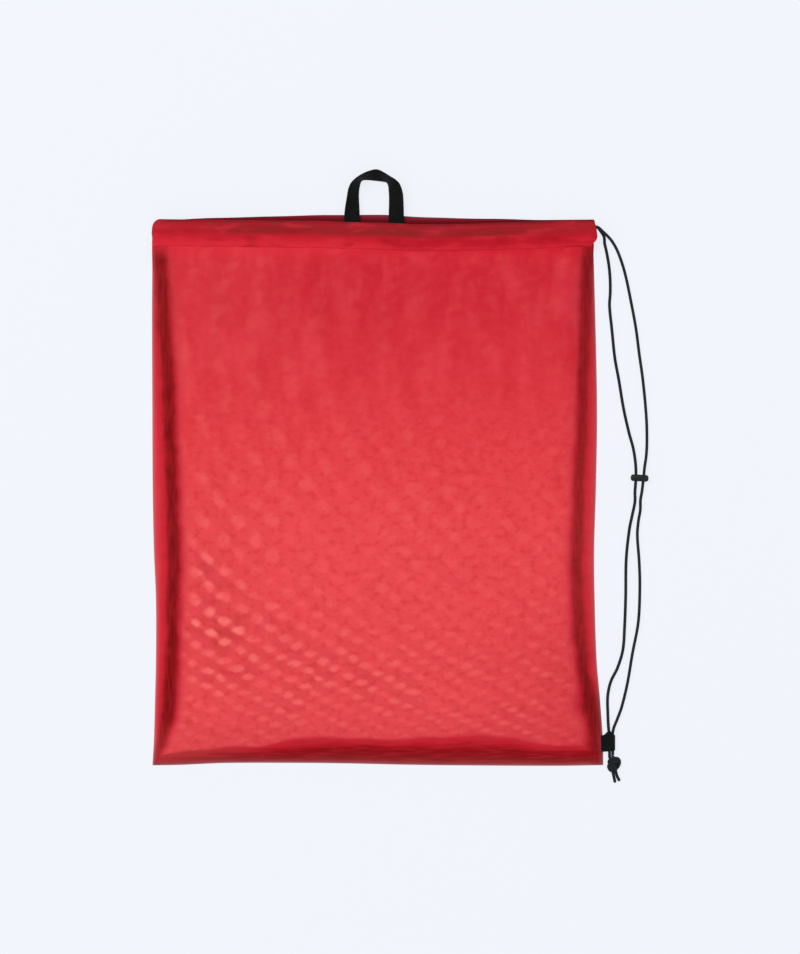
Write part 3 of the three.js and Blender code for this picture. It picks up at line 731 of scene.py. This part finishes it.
# Cloth of the front panel: its tone from the bottom to the casing, with light and dark streaks; the upright
# streaks in the upper part are painted light and shade of its soft folds
def streaked_cloth(tree):
    across, along = axes(tree)
    cloth = tone_ramp(tree, times(tree, maths(tree, "ADD", along, 0.28), 1.9), [
        (0.06, 221, 68, 74),
        (0.15, 229, 73, 77),
        (0.46, 230, 71, 76),
        (0.60, 222, 61, 67),
        (0.74, 212, 50, 60),
        (0.89, 199, 38, 52),
        (0.95, 197, 34, 49),
        (0.985, 204, 35, 51),
    ])
    cloth = tinted(tree, cloth, across, -0.06, 0.18, 0.16, tone(204, 38, 52))
    low_right = times(tree, map_range(tree, across, 0.08, 0.19, 0.0, 0.35),
                      map_range(tree, along, -0.08, -0.2))
    cloth = mix_tones(tree, low_right, cloth, tone(194, 46, 58))
    high_left = times(tree, map_range(tree, across, -0.05, -0.13, 0.0, 0.24),
                      map_range(tree, along, 0.1, 0.15))
    cloth = mix_tones(tree, high_left, cloth, tone(226, 72, 78))
    upper = map_range(tree, along, 0.04, 0.14, 0.3, 1.0)
    lower = map_range(tree, along, 0.02, 0.14, 1.0, 0.35)
    # Upper streaks: painted light and shade of the soft folds; lower streaks: blotches that vary the tone
    for scale, strength, reach in (
        ((36, 13, 1), 0.5, upper),
        ((80, 40, 1), 0.22, upper),
        ((120, 140, 1), 0.5, lower),
        ((190, 400, 1), 0.18, lower),
        ((620, 620, 1), 0.08, lower),
    ):
        streaks = noise(tree, 1.0, 2.0, scale)
        lighter = times(tree, map_range(tree, streaks, 0.48, 0.68, 0.0, 0.5 * strength), reach)
        cloth = mix_tones(tree, lighter, cloth, tone(229, 76, 84))
        darker = times(tree, map_range(tree, streaks, 0.5, 0.32, 0.0, 0.6 * strength), reach)
        cloth = mix_tones(tree, darker, cloth, tone(193, 27, 41))
    hem_tone = mix_tones(tree, map_range(tree, across, -0.06, 0.05), tone(214, 41, 57), tone(201, 25, 43))
    return mix_tones(tree, map_range(tree, along, 0.229, 0.241, 0.0, 0.85), cloth, hem_tone)


# Moire: bright dots in rows that fall to the right, darker between the rows
def with_moire(tree, cloth):
    crests = []
    for name, scale in (("falling_rows", 42.0), ("rising_rows", 55.0)):
        turn = jittered(tree, name, scale, 1.0, 0.6)
        crest = maths(tree, "COSINE", times(tree, turn, 2 * math.pi))
        crests.append(times(tree, maths(tree, "ADD", crest, 1.0), 0.5))
    rows = maths(tree, "POWER", crests[0], 1.7)
    dots = times(tree, rows, map_range(tree, crests[1], 0.1, 0.9, 0.28, 1.0))
    dots = map_range(tree, dots, 0.0, 1.0, 0.0, 1.1)
    patchy = map_range(tree, noise(tree, 36.0, 2.0), 0.36, 0.62, 0.35, 1.0)
    clear = times(tree, patchy, read_attribute(tree, "moire_gain"))
    shade = times(tree, clear, map_range(tree, dots, 0.36, 0.0))
    cloth = mix_tones(tree, shade, cloth, tone(172, 46, 52))
    return mix_tones(tree, times(tree, dots, clear), cloth, tone(252, 142, 130))


# Dark strips where the seam allowances lie behind the mesh
def with_side_strips(tree, cloth):
    place = jittered(tree, "side_strip", 70.0, 2.0, 0.09)
    strip = tone_ramp(tree, place, [
        (0.062, 207, 49, 61),
        (0.150, 197, 35, 50),
        (0.206, 187, 30, 45),
        (0.250, 159, 20, 33),
        (0.297, 125, 9, 16),
        (0.375, 111, 4, 6),
        (0.450, 125, 5, 13),
        (0.500, 163, 23, 36),
        (0.544, 189, 41, 53),
        (0.600, 204, 55, 66),
        (0.675, 213, 66, 74),
    ])
    along = axes(tree)[1]
    strip = tinted(tree, strip, along, 0.04, 0.16, 0.22, tone(142, 30, 32))
    streak = noise(tree, 1.0, 2.0, (330, 45, 1))
    strip = tinted(tree, strip, streak, 0.35, 0.65, 0.22, tone(188, 40, 48))
    share = grey_ramp(tree, place, [(0.56, 1), (0.78, 0)])
    share = times(tree, share, read_attribute(tree, "strip_depth"))
    return mix_tones(tree, share, cloth, strip)


def with_bottom_strip(tree, cloth):
    place = jittered(tree, "bottom_strip", 60.0, 2.0, 0.09)
    strip = tone_ramp(tree, place, [
        (0.0, 156, 55, 57),
        (0.1, 144, 36, 41),
        (0.18, 136, 26, 29),
        (0.3, 138, 18, 24),
        (0.42, 142, 8, 18),
        (0.5, 158, 13, 27),
        (0.6, 177, 21, 35),
        (0.7, 187, 27, 42),
        (0.85, 195, 34, 48),
        (0.95, 200, 45, 56),
    ])
    across = axes(tree)[0]
    strip = mix_tones(tree, map_range(tree, across, -0.2, -0.09, 0.6, 0.0), strip, tone(162, 52, 54))
    streak = noise(tree, 1.0, 3.0, (40, 420, 1))
    strip = tinted(tree, strip, streak, 0.45, 0.7, 0.3, tone(186, 48, 56))
    strip = tinted(tree, strip, streak, 0.45, 0.3, 0.3, tone(118, 8, 14))
    share = grey_ramp(tree, place, [(0.84, 1), (1.0, 0)])
    return mix_tones(tree, share, cloth, strip)


def front_mesh_finish():
    material, tree, shader = new_finish("front_mesh_cloth", 0.8, 0.05, 0.02)
    holes = mesh_holes(tree)
    closing = times(tree, maths(tree, "SUBTRACT", 1.0, read_attribute(tree, "single_cloth")), 0.65)
    open_share = map_range(tree, maths(tree, "SUBTRACT", holes, closing), 0.38, 0.52)
    cloth = with_moire(tree, streaked_cloth(tree))
    cloth = mix_tones(tree, 1.0, with_side_strips(tree, cloth), with_bottom_strip(tree, cloth), "DARKEN")
    # Painted light in the holes: this cloth has no cut-out holes, so each hole is tinted pale pink where
    # the bright floor would show through
    cloth = mix_tones(tree, times(tree, open_share, 0.09), cloth, tone(232, 112, 112))
    # Painted light: a pale glow along the panel's side and bottom edges
    cloth = mix_tones(tree, read_attribute(tree, "rim"), cloth, tone(190, 140, 150))
    dress(tree, shader, cloth, holes, 0.06, -0.0002)
    return material


def back_mesh_finish():
    material, tree, shader = new_finish("back_mesh_cloth", 0.8, 0.05, 0.02)
    holes = mesh_holes(tree, math.radians(45))
    closing = map_range(tree, axes(tree)[1], 0.19, 0.225, 0.0, 0.5)
    open_share = map_range(tree, maths(tree, "SUBTRACT", holes, closing), 0.62, 0.76)
    tree.links.new(maths(tree, "SUBTRACT", 1.0, open_share), shader.inputs["Alpha"])
    cloth = mix_tones(tree, noise(tree, 20.0, 2.0), tone(196, 30, 42), tone(224, 52, 62))
    dress(tree, shader, cloth, holes, 0.3, -0.0002)
    return material


def hem_finish():
    material, tree, shader = new_finish("hem_cloth", 0.75, 0.08, 0.03)
    height = read_attribute(tree, "hem_height")
    across = axes(tree)[0]
    # Tone across the casing from its sewn edge to the fold; the last stop paints shade on the top of the
    # fold, where the cloth turns down into the mouth
    red = tone_ramp(tree, height, [
        (0.0, 209, 37, 53),
        (0.16, 206, 34, 49),
        (0.36, 191, 25, 40),
        (0.5, 183, 24, 39),
        (0.88, 168, 26, 40),
        (1.0, 112, 11, 25),
    ])
    deeper = grey_ramp(tree, height, [
        (0.0, 0.4),
        (0.2, 0.75),
        (0.4, 0.6),
        (0.56, 0),
    ])
    deeper = times(tree, deeper, map_range(tree, across, -0.03, 0.05))
    red = mix_tones(tree, deeper, red, tone(177, 11, 31))
    cord_band = grey_ramp(tree, height, [
        (0.42, 0),
        (0.6, 1),
        (0.82, 1),
        (0.93, 0.3),
        (1.0, 0.5),
    ])
    patchy = noise(tree, 1.0, 2.0, (22, 60, 1))
    shade = times(tree, cord_band, map_range(tree, patchy, 0.3, 0.58, 0.6, 1.0))
    shade = times(tree, shade, map_range(tree, across, -0.2, -0.13, 0.05, 1.0))
    shade = times(tree, shade, map_range(tree, across, 0.13, 0.21, 1.0, 0.25))
    cloth = mix_tones(tree, shade, red, tone(144, 28, 33))
    blotch = noise(tree, 1.0, 2.0, (30, 110, 1))
    cloth = tinted(tree, cloth, blotch, 0.52, 0.7, 0.42, tone(214, 40, 54))
    cloth = tinted(tree, cloth, blotch, 0.48, 0.32, 0.5, tone(160, 10, 26))
    # Painted shade on the casings' inner faces: darkest at the front fold, where the front casing shades
    # the mouth, and lighter towards the back fold
    inside = tone_ramp(tree, read_attribute(tree, "mouth_gap"), [
        (0.0, 94, 0, 3),
        (0.3, 100, 0, 10),
        (0.55, 112, 8, 28),
        (0.85, 124, 38, 54),
    ])
    cloth = mix_tones(tree, read_attribute(tree, "hem_inside"), cloth, inside)
    dress(tree, shader, cloth, mesh_holes(tree), 0.25, -0.00015)
    return material


def seam_finish():
    material, tree, shader = new_finish("seam_cloth", 0.85, 0.1, 0.05)
    cloth = mix_tones(tree, noise(tree, 160.0, 3.0), tone(120, 14, 22), tone(168, 26, 36))
    dress(tree, shader, cloth, mesh_holes(tree), 0.3, -0.0002)
    return material


def thread_finish(name, low, high):
    material, tree, shader = new_finish(name, 0.6, 0.3, 0.2)
    tint = noise(tree, 900.0, 2.0)
    dress(tree, shader, mix_tones(tree, tint, low, high), tint, 0.2, 0.0001)
    return material


def webbing_finish():
    material, tree, shader = new_finish("black_webbing", 0.75, 0.14, 0.03)
    across, along = axes(tree, "UV")
    weave = times(tree, wave(tree, across, 9), wave(tree, along, 60))
    wear = noise(tree, 130.0, 3.0)
    # Painted light and shade of the weave: darker in its grooves, lighter on its ridges
    cloth = mix_tones(tree, map_range(tree, weave, -0.6, 0.8), tone(2, 2, 3), tone(9, 10, 11))
    cloth = tinted(tree, cloth, wear, 0.55, 0.8, 0.3, tone(20, 21, 23))
    dress(tree, shader, cloth, weave, 0.5, 0.0003)
    return material


def cord_finish():
    material, tree, shader = new_finish("black_braided_cord", 0.75, 0.12, 0.03)
    around, along = axes(tree, "UV")
    right, left = (wave(tree, maths(tree, way, around, along), 6) for way in ("ADD", "SUBTRACT"))
    braid = times(tree, right, left)
    # Painted light and shade of the braid: darker in its grooves, lighter on its crests
    cloth = mix_tones(tree, map_range(tree, braid, -0.8, 0.8), tone(14, 16, 18), tone(42, 47, 51))
    dress(tree, shader, cloth, braid, 0.6, 0.0002)
    return material


def slider_finish():
    material, tree, shader = new_finish("black_slider_plastic", 0.45, 0.3, 0.0)
    scuffs = map_range(tree, noise(tree, 260.0, 4.0), 0.5, 0.8, 0.0, 0.5)
    plastic = mix_tones(tree, scuffs, tone(9, 10, 11), tone(34, 36, 38))
    dress(tree, shader, plastic, noise(tree, 1400.0, 2.0), 0.15, 0.0001)
    return material


# Free strands of the drawcord, its run in the casing, and the knot
def make_cords(finish):
    strands = []
    for name, route, node in (
        ("front_strand_cord", FRONT_STRAND, "front_strand"),
        ("back_strand_cord", BACK_STRAND, "back_strand"),
    ):
        line = smooth_line(route, 0.00055)
        strand = cord_tube(name, line, 18, False)
        finish_piece(strand, finish, "cord", node)
        strands.append((strand, line))
    return strands


def casing_cord_lines():
    across = SEWN_STRIP + (CASING_WIDTH - SEWN_STRIP) * 0.5 ** (1 / TUNNEL_LEAN)
    front_x = np.linspace(CASING_RIGHT - 0.0007, CASING_START, 18)
    front_share = mouth_share(front_x)
    bulge = FRONT_BULGE * smooth_step(front_share, 0, 0.1)
    front_z = mouth_height(front_share) - CASING_WALL - (TUNNEL - bulge) / 2
    front = np.column_stack((front_x, front_fold(front_share) - CASING_WIDTH + across, front_z))
    radius = TURN_RADIUS - CASING_WALL - TUNNEL / 2
    angle = np.linspace(np.pi / 2, 1.5 * np.pi, 9)[1:-1]
    turn_y = np.full(len(angle), front[-1, 1])
    turn_x = CASING_START + radius * np.cos(angle)
    turn = np.column_stack((turn_x, turn_y, TURN_RADIUS + radius * np.sin(angle)))
    back_x = np.linspace(CASING_START, CASING_RIGHT - 0.0013, 16)
    back_y = back_fold(mouth_share(back_x)) - CASING_WIDTH + across
    back = np.column_stack((back_x, back_y, np.full(len(back_x), CASING_WALL + TUNNEL / 2)))
    return np.concatenate((front, turn, back))


def knot_strand(side):
    way = np.array([(KNOT_X + right, KNOT_TOP - down, up) for down, right, up, _ in KNOT])
    points = []
    for i, (*_, spread) in enumerate(KNOT):
        along = way[min(i + 1, len(way) - 1)] - way[max(i - 1, 0)]
        sideways = np.array((along[1], -along[0], 0.0))
        sideways /= max(np.linalg.norm(sideways), 1e-9)
        points.append(way[i] + sideways * side * spread * CORD_PITCH / 2)
    return points


def make_knot(finish):
    strands = []
    for side in (-1, 1):
        line = smooth_line(knot_strand(side), 0.00045)
        strands.append(cord_tube("cord_knot_tied", line, 18, True))
    make_active(strands[0])
    strands[1].select_set(True)
    bpy.ops.object.join()
    finish_piece(strands[0], finish, "cord", "cord_knot")
    return strands[0]


# Slider: a rounded block with a bore for each strand
def make_slider(finish):
    deselect_all()
    bpy.ops.mesh.primitive_cube_add(
        size=1, location=SLIDER_PLACE, rotation=(0, 0, SLIDER_TURN), scale=SLIDER_SIZE
    )
    slider = bpy.context.object
    slider.name = "cord_slider_bead"
    bpy.ops.object.transform_apply(location=True, rotation=True, scale=True)
    bpy.ops.object.mode_set(mode="EDIT")
    bpy.ops.mesh.select_all(action="SELECT")
    bpy.ops.mesh.bevel(offset=SLIDER_BEVEL, offset_type="OFFSET", segments=6, profile=0.5, affect="EDGES")
    bpy.ops.object.mode_set(mode="OBJECT")
    x, y, z = SLIDER_PLACE
    for side in (-BORE_OFFSET, BORE_OFFSET):
        deselect_all()
        bore = (x + side * math.cos(SLIDER_TURN), y + side * math.sin(SLIDER_TURN), z)
        lying = (math.pi / 2, 0, SLIDER_TURN)
        bpy.ops.mesh.primitive_cylinder_add(
            vertices=32, radius=BORE_RADIUS, depth=0.02, location=bore, rotation=lying
        )
        cutter = bpy.context.object
        cut = slider.modifiers.new("bore", "BOOLEAN")
        cut.operation = "DIFFERENCE"
        cut.object = cutter
        apply_modifier(slider, cut)
        bpy.data.objects.remove(cutter)
    make_active(slider)
    bpy.ops.object.shade_smooth_by_angle(angle=math.radians(35))
    finish_piece(slider, finish, "slider_plastic", "cord_slider")
    return slider


# Front panel: it rises from the sewn edges to the casing and keeps its soft folds and puckers
def fold_height(x, y):
    total = np.zeros_like(x)
    for middle_x, middle_y, length, width, lean, height in FOLDS:
        turn = math.radians(lean)
        along = ((y - middle_y) * math.cos(turn) + (x - middle_x) * math.sin(turn)) / length
        across = ((x - middle_x) * math.cos(turn) - (y - middle_y) * math.sin(turn)) / width
        total += height * np.exp(-2 * along**2 - across**2)
    return total


def panel_place(across, along, fold):
    u = crowded(across, 0.6)
    v = crowded(along, 0.5)
    bottom = bottom_edge(u)
    top = fold(mouth_share(between(CASING_LEFT, CASING_RIGHT, u))) - CASING_WIDTH + PANEL_UNDER_HEM
    y = between(bottom, top, v)
    x = between(left_edge(y), right_edge(y), u)
    return x, y, bottom, top


def rise(reach, width):
    return np.sin(np.pi / 2 * unit(reach / width))


def front_surface(across, along):
    x, y, bottom, top = panel_place(across, along, front_fold)
    from_left = x - left_edge(y)
    from_right = right_edge(y) - x
    from_bottom = y - bottom
    near_mouth = smooth_step(y, MOUTH_RISE_START, top)
    mouth = mouth_height(mouth_share(x)) - HEM_OUTER
    full = between(BODY_HEIGHT, mouth, near_mouth)
    roll = between(ROLL_WIDTH, MOUTH_ROLL_WIDTH, near_mouth)
    hem_lift = smooth_step(y, top - HEM_LIFT, top)
    edge = between(EDGE_HEIGHT, TURN_RADIUS, hem_lift)
    turn = np.sqrt(1 - (1 - unit(from_left / TURN_RADIUS)) ** 2)
    left_rise = between(rise(from_left, roll), turn, hem_lift)
    right_lift = smooth_step(y, top - RIGHT_LIFT, top)
    right_rise = between(rise(from_right, roll), 1.0, right_lift)
    share = left_rise * right_rise * rise(from_bottom, ROLL_WIDTH)
    puckers = waves(x, PUCKERS) * bell(top - y, 0.022)
    ties = waves(y, SIDE_TIES) * bell(np.minimum(from_left, from_right) - 0.012, 0.012)
    ties = ties + waves(x, LOW_TIES) * bell(from_bottom - 0.014, 0.012)
    relief = (PUCKER_HEIGHT * puckers + TIE_HEIGHT * ties) * rise(from_bottom, 0.02)
    relief = relief * (1 - smooth_step(y, top - 0.008, top - 0.003))
    z = edge + (full - edge + fold_height(x, y) * (1 - hem_lift)) * share + relief
    from_edge = np.minimum(np.minimum(from_left, from_right), from_bottom)
    rim = bell(from_edge, RIM_WIDTH) * (1 - np.where(x < 0, hem_lift, right_lift))
    tuck = 0.0006 * smooth_step(y, top - 0.0034, top - 0.0018)
    return x, y, z - (z - RIM_HEIGHT) * rim - tuck


# Back panel: flat on the floor with a slight sag, and curled up where its hem turns at the left
def back_surface(across, along):
    x, y, _, top = panel_place(across, along, back_fold)
    hem_lift = smooth_step(y, top - HEM_LIFT, top)
    curl = (TURN_RADIUS - BACK_HEIGHT) * hem_lift * bell(x - left_edge(y), 0.004)
    sag = 0.00015 * (1 + waves(x, SAG_ACROSS) * waves(y, SAG_ALONG) / 4)
    return x, y, BACK_HEIGHT + sag + curl


# What the front finish reads at each point: the moire's rows, the dark strips, the rim of painted light
# along the edges and the single cloth
def moire_attributes(panel, x, y):
    for name, rows in (("falling_rows", FALLING_ROWS), ("rising_rows", RISING_ROWS)):
        turns = rows["across"] * x + rows["along"] * y + rows["close"] * y**2
        turns += rows.get("crowd", 0) * y**3 + rows.get("fan", 0) * x * y
        set_attribute(panel, name, turns)
    gain = between(0.07, 0.03, smooth_step(y, -0.05, 0.1))
    for middle_x, middle_y, reach_x, reach_y, strength in DOT_PATCHES:
        gain += strength * bell(x - middle_x, reach_x) * bell(y - middle_y, reach_y)
    from_strip = np.minimum(x - left_strip(y), right_strip(y) - x)
    set_attribute(panel, "moire_gain", gain * smooth_step(from_strip, 0.004, 0.011))


def strip_attributes(panel, x, y):
    wander = 0.0003 * waves(y, SIDE_STRIP_WANDER)
    left = (x - left_strip(y) - wander) / left_strip_half(y)
    right = (right_strip(y) - x - wander) / right_strip_half(y)
    inward = np.where(x < 0, left, right)
    set_attribute(panel, "side_strip", unit((inward + 3) / 8))
    set_attribute(panel, "strip_depth", np.where(x < 0, left_depth(y), right_depth(y)))
    from_side = np.minimum(x - left_edge(y), right_edge(y) - x)
    # Masks for the painted light along the side and bottom edges, which fades out below the casing
    side_edge_light = np.exp(-from_side / 0.0013)
    share = (x - left_edge(y)) / (right_edge(y) - left_edge(y))
    height = y - bottom_edge(share) - 0.0004 * waves(x, LOW_STRIP_WANDER)
    core, tint = low_strip(share), low_tint(share)
    low = np.where(height < core, height / core, 1 + (height - core) / (tint - core))
    low_edge_light = np.exp(-(y - bottom_edge(share)) / 0.0013)
    set_attribute(panel, "rim", 0.6 * np.maximum(side_edge_light, low_edge_light) * (1 - smooth_step(y, 0.2, 0.236)))
    set_attribute(panel, "bottom_strip", unit(low / 2))
    single = smooth_step(inward, 1.6, 4.0) * smooth_step(low, 0.9, 1.9)
    single *= between(0.4, 1.0, smooth_step(-y, -0.19, -0.08))
    set_attribute(panel, "single_cloth", single)


def make_panels(front_finish, back_finish):
    front = shaped_grid("front_mesh_panel", 240, 280, front_surface)
    places = vertex_places(front)
    strip_attributes(front, *places)
    moire_attributes(front, *places)
    finish_piece(front, front_finish, "mesh_cloth", "front_panel")
    back = shaped_grid("back_mesh_panel", 120, 140, back_surface)
    finish_piece(back, back_finish, "mesh_cloth", "back_panel")
    return front, back


# Casings: each is the panel's cloth folded over inwards and sewn down, from the left turn to the right
def tunnel_share(across):
    share = unit((across - SEWN_STRIP) / (CASING_WIDTH - SEWN_STRIP))
    return np.sin(np.pi * share**TUNNEL_LEAN)


def hem_profile(share):
    flat = 1 - FOLD_END
    outer = unit((share - FOLD_END) / flat)
    inner = unit((FOLD_START - share) / FOLD_START)
    turn = np.pi * unit((share - FOLD_START) / (FOLD_END - FOLD_START))
    in_turn = (share > FOLD_START) & (share < FOLD_END)
    across = np.where(share <= FOLD_START, CASING_WIDTH * (1 - inner), CASING_WIDTH * (1 - outer))
    across = np.where(in_turn, CASING_WIDTH + FOLD_LIP * np.sin(turn), across)
    inner_share = np.where(in_turn, (1 + np.cos(turn)) / 2, np.where(share <= FOLD_START, 1.0, 0.0))
    return across, inner_share


def hem_surface(fold, height, towards, bulge_size):
    straight = CASING_RIGHT - CASING_START
    bend = TURN_RADIUS * np.pi / 2
    total = straight + bend

    def surface(along, profile):
        run = along * total
        angle = np.clip(run, 0, bend) / TURN_RADIUS
        in_bend = run < bend
        x = np.where(in_bend, CASING_START - TURN_RADIUS * np.cos(angle), CASING_START + run - bend)
        share = unit(mouth_share(x))
        z = np.where(in_bend, TURN_RADIUS + towards * TURN_RADIUS * np.sin(angle), height(share))
        inward_x = np.where(in_bend, np.cos(angle), 0.0)
        inward_z = np.where(in_bend, -towards * np.sin(angle), -towards)
        across, inner_share = hem_profile(profile)
        bulge = bulge_size * smooth_step(share, 0, 0.1)
        swell = tunnel_share(across)
        crease = waves(x, HEM_CREASES) * bell(across - 0.006, 0.006)
        crease += waves(x + across, TUNNEL_CREASES) * 0.8 * rise(across - SEWN_STRIP, 0.008)
        lip = 0.0002 * bell(across, 0.0016)
        outer_depth = HEM_OUTER + lip - bulge * swell - CREASE_HEIGHT * crease * rise(1 - share, 0.02)
        inner_depth = HEM_INNER + TUNNEL * swell
        depth = between(outer_depth, inner_depth, inner_share)
        pull = casing_end(across) * smooth_step(x, CASING_RIGHT - 0.014, CASING_RIGHT)
        y = fold(share) - CASING_WIDTH + across + 0.00012 * waves(x, HEM_WANDER)
        corner = unit(1 - (x - CASING_LEFT) / CORNER_RADIUS)
        drop = CORNER_RADIUS * (1 - np.sqrt(1 - corner**2))
        y = y - drop * (across / CASING_WIDTH) ** 2
        return x + inward_x * depth + pull, y, z + inward_z * depth

    return surface


def make_casing(name, surface, finish, node):
    hem = shaped_grid(name, HEM_COLUMNS, HEM_ROWS, surface)
    profile = np.repeat(np.linspace(0, 1, HEM_ROWS + 1), HEM_COLUMNS + 1)
    across, inner_share = hem_profile(profile)
    set_attribute(hem, "hem_height", unit(across / CASING_WIDTH))
    set_attribute(hem, "hem_inside", inner_share)
    x, y = vertex_places(hem)
    # Distance back from the front fold, which grades the painted shade in the mouth
    gap = y - front_fold(unit(mouth_share(x)))
    set_attribute(hem, "mouth_gap", unit(gap / 0.01))
    thicken(hem, CLOTH)
    finish_piece(hem, finish, "casing_cloth", node)
    return hem


def make_casings(finish):
    front_shape = hem_surface(front_fold, mouth_height, 1, FRONT_BULGE)
    front = make_casing("front_casing_hem", front_shape, finish, "front_casing")
    back_shape = hem_surface(back_fold, np.zeros_like, -1, 0.0)
    back = make_casing("back_casing_hem", back_shape, finish, "back_casing")
    return front, back


def make_hem_stitches(finish):
    points = []
    for x in np.arange(CASING_START + 0.002, CASING_RIGHT - 0.006, STITCH_PITCH):
        for step, lift in STITCH_STEPS:
            place = x + step * STITCH_PITCH
            share = mouth_share(place)
            y = front_fold(share) - CASING_WIDTH + PANEL_UNDER_HEM + 0.0002 * math.sin(place * 190)
            points.append((place, float(y), float(mouth_height(share)) + lift))
    stitches = thread("front_hem_stitches", points, STITCH_THREAD)
    finish_piece(stitches, finish, "casing_cloth")


# Seam allowances inside the bag, each with an overlocked inner edge
def seam_height(place, share):
    return SEAM_HEIGHT + 0.00012 * waves(place, SEAM_RIPPLE) * share


def overlock_steps(low, high):
    for start in np.arange(low, high, OVERLOCK_PITCH):
        for step, back, height in OVERLOCK_STEPS:
            yield start + step * OVERLOCK_PITCH, back, height


def side_seam(edge, reach, direction):
    low = float(bottom_edge(0.0 if direction > 0 else 1.0)) + 0.001
    high = float(front_fold(0.0)) - CASING_WIDTH - 0.002

    def surface(across, along):
        y = between(low, high, along)
        x = edge(y) + direction * between(SEAM_START, reach(y), across)
        return x, y, seam_height(y, across)

    def overlock():
        return [
            (float(edge(y) + direction * (reach(y) - back)), y, height)
            for y, back, height in overlock_steps(low + 0.004, high - 0.004)
        ]

    return surface, overlock


def bottom_seam():
    left, right = float(left_edge(-0.272)), float(right_edge(-0.272))

    def ends(y):
        return left_edge(y) + left_seam_reach(y) + 0.0003, right_edge(y) - right_seam_reach(y) - 0.0003

    def surface(across, along):
        y = bottom_edge(along) + between(SEAM_START, bottom_seam_reach(along), 1 - across)
        x = between(*ends(y), along)
        return x, y, seam_height(x, 1 - across)

    def overlock():
        points = []
        low, high = (float(end) for end in ends(-0.262))
        for x, back, height in overlock_steps(low + 0.005, high - 0.006):
            share = (x - left) / (right - left)
            points.append((x, float(bottom_edge(share) + bottom_seam_reach(share) - back), height))
        return points

    return surface, overlock


def make_seams(cloth, overlock_finish):
    seams = (
        ("left_seam", *side_seam(left_edge, left_seam_reach, 1)),
        ("right_seam", *side_seam(right_edge, right_seam_reach, -1)),
        ("bottom_seam", *bottom_seam()),
    )
    for node, surface, overlock in seams:
        strip = shaped_grid(node + "_allowance", 6, 200, surface)
        thicken(strip, SEAM_CLOTH)
        finish_piece(strip, cloth, "seam_cloth", node)
        edging = thread(node + "_overlock", overlock(), OVERLOCK_THREAD)
        finish_piece(edging, overlock_finish, "seam_cloth")


# Hanging loop: where the webbing looks narrower than it is, it stands up on its inner edge
def make_loop(finish):
    inner, outer = [], []
    for inner_x, inner_y, outer_x, outer_y in LOOP:
        seen = math.hypot(outer_x - inner_x, outer_y - inner_y)
        stand = math.sqrt(max(WEBBING_WIDTH**2 - seen**2, 0))
        middle = LOOP_HEIGHT + 0.002 * stand / WEBBING_WIDTH
        inner.append((inner_x, inner_y, middle - stand / 2))
        outer.append((outer_x, outer_y, middle + stand / 2))
    keys = np.arange(len(LOOP))
    steps = np.linspace(0, len(LOOP) - 1, LOOP_ROWS + 1)
    inner_line, outer_line = (line_through(np.column_stack((keys, edge)), steps) for edge in (inner, outer))

    def surface(across, along):
        row = np.rint(along * LOOP_ROWS).astype(int)
        return between(inner_line[row], outer_line[row], across[:, None]).T

    loop = shaped_grid("hang_loop_webbing", 12, LOOP_ROWS, surface)
    thicken(loop, WEBBING_THICKNESS)
    finish_piece(loop, finish, "webbing", "hang_loop")


# Corner tab: webbing folded round the two strands, with its ends in the side seam
def make_tab(finish):
    reach = CORD_DIAMETER / 2 + 0.0003 + TAB_THICKNESS / 2
    profile = [(TAB_ROOT, 0.00165), (TAB_EDGE, 0.0015), (0.2292, 0.0008)]
    for cord_x, turns in ((FRONT_CORD_X, range(-90, 91, 30)), (BACK_CORD_X, (90, 118))):
        for degrees in turns:
            turn = math.radians(degrees)
            profile.append((cord_x + reach * math.cos(turn), TAB_CORD_HEIGHT + reach * math.sin(turn)))
    profile += [(0.2284, 0.0034), (TAB_EDGE, 0.0026), (TAB_ROOT, 0.00245)]
    line = smooth_line([(x, 0.0, z) for x, z in profile], 0.0004)
    rows = len(line) - 1
    top, low = curves_of(TAB_EDGES)

    def surface(across, along):
        row = np.rint(along * rows).astype(int)
        x = line[row, 0]
        return x, between(top(x), low(x), across), line[row, 2]

    tab = shaped_grid("corner_tab_webbing", 12, rows, surface)
    thicken(tab, TAB_THICKNESS)
    finish_piece(tab, finish, "webbing", "corner_tab")


# Floor and light
def make_stage():
    deselect_all()
    bpy.ops.mesh.primitive_plane_add(size=12)
    floor = bpy.context.object
    floor.name = "floor"
    material, _, shader = new_finish("pale_floor", 0.9, 0.0, 0.0)
    pale = tone(241, 245, 251)
    dim = (*(0.15 * value for value in pale[:3]), 1)
    set_inputs(shader, {"Base Color": dim, "Emission Color": pale, "Emission Strength": 0.85})
    floor.data.materials.append(material)
    world = bpy.data.worlds.new("soft studio")
    world.use_nodes = True
    set_inputs(world.node_tree.nodes["Background"], {"Color": (1, 1, 1, 1), "Strength": 0.74})
    bpy.context.scene.world = world
    lamp = bpy.data.lights.new("soft lamp", "AREA")
    lamp.shape = "SQUARE"
    lamp.size = 5
    lamp.energy = 190
    light = bpy.data.objects.new("soft lamp", lamp)
    light.location = (-2.6, 2.6, 5)
    light.rotation_euler = (math.radians(-27), math.radians(-25), 0)
    bpy.context.collection.objects.link(light)
    settings = bpy.context.scene.view_settings
    settings.view_transform = "Standard"
    settings.look = "None"


set_camera()
braid = cord_finish()
strands = make_cords(braid)
knot = make_knot(braid)
slider = make_slider(slider_finish())
casing_cord = cord_tube("casing_cord_run", smooth_line(casing_cord_lines(), 0.0012), 12, False)
finish_piece(casing_cord, braid, "cord", "front_cord_run", "cord_turn", "back_cord_run")
front_panel, back_panel = make_panels(front_mesh_finish(), back_mesh_finish())
front_casing, back_casing = make_casings(hem_finish())
make_hem_stitches(thread_finish("red_thread", tone(190, 20, 33), tone(204, 30, 44)))
make_seams(seam_finish(), thread_finish("overlock_thread", tone(92, 10, 16), tone(130, 20, 28)))
webbing = webbing_finish()
make_loop(webbing)
make_tab(webbing)
make_stage()
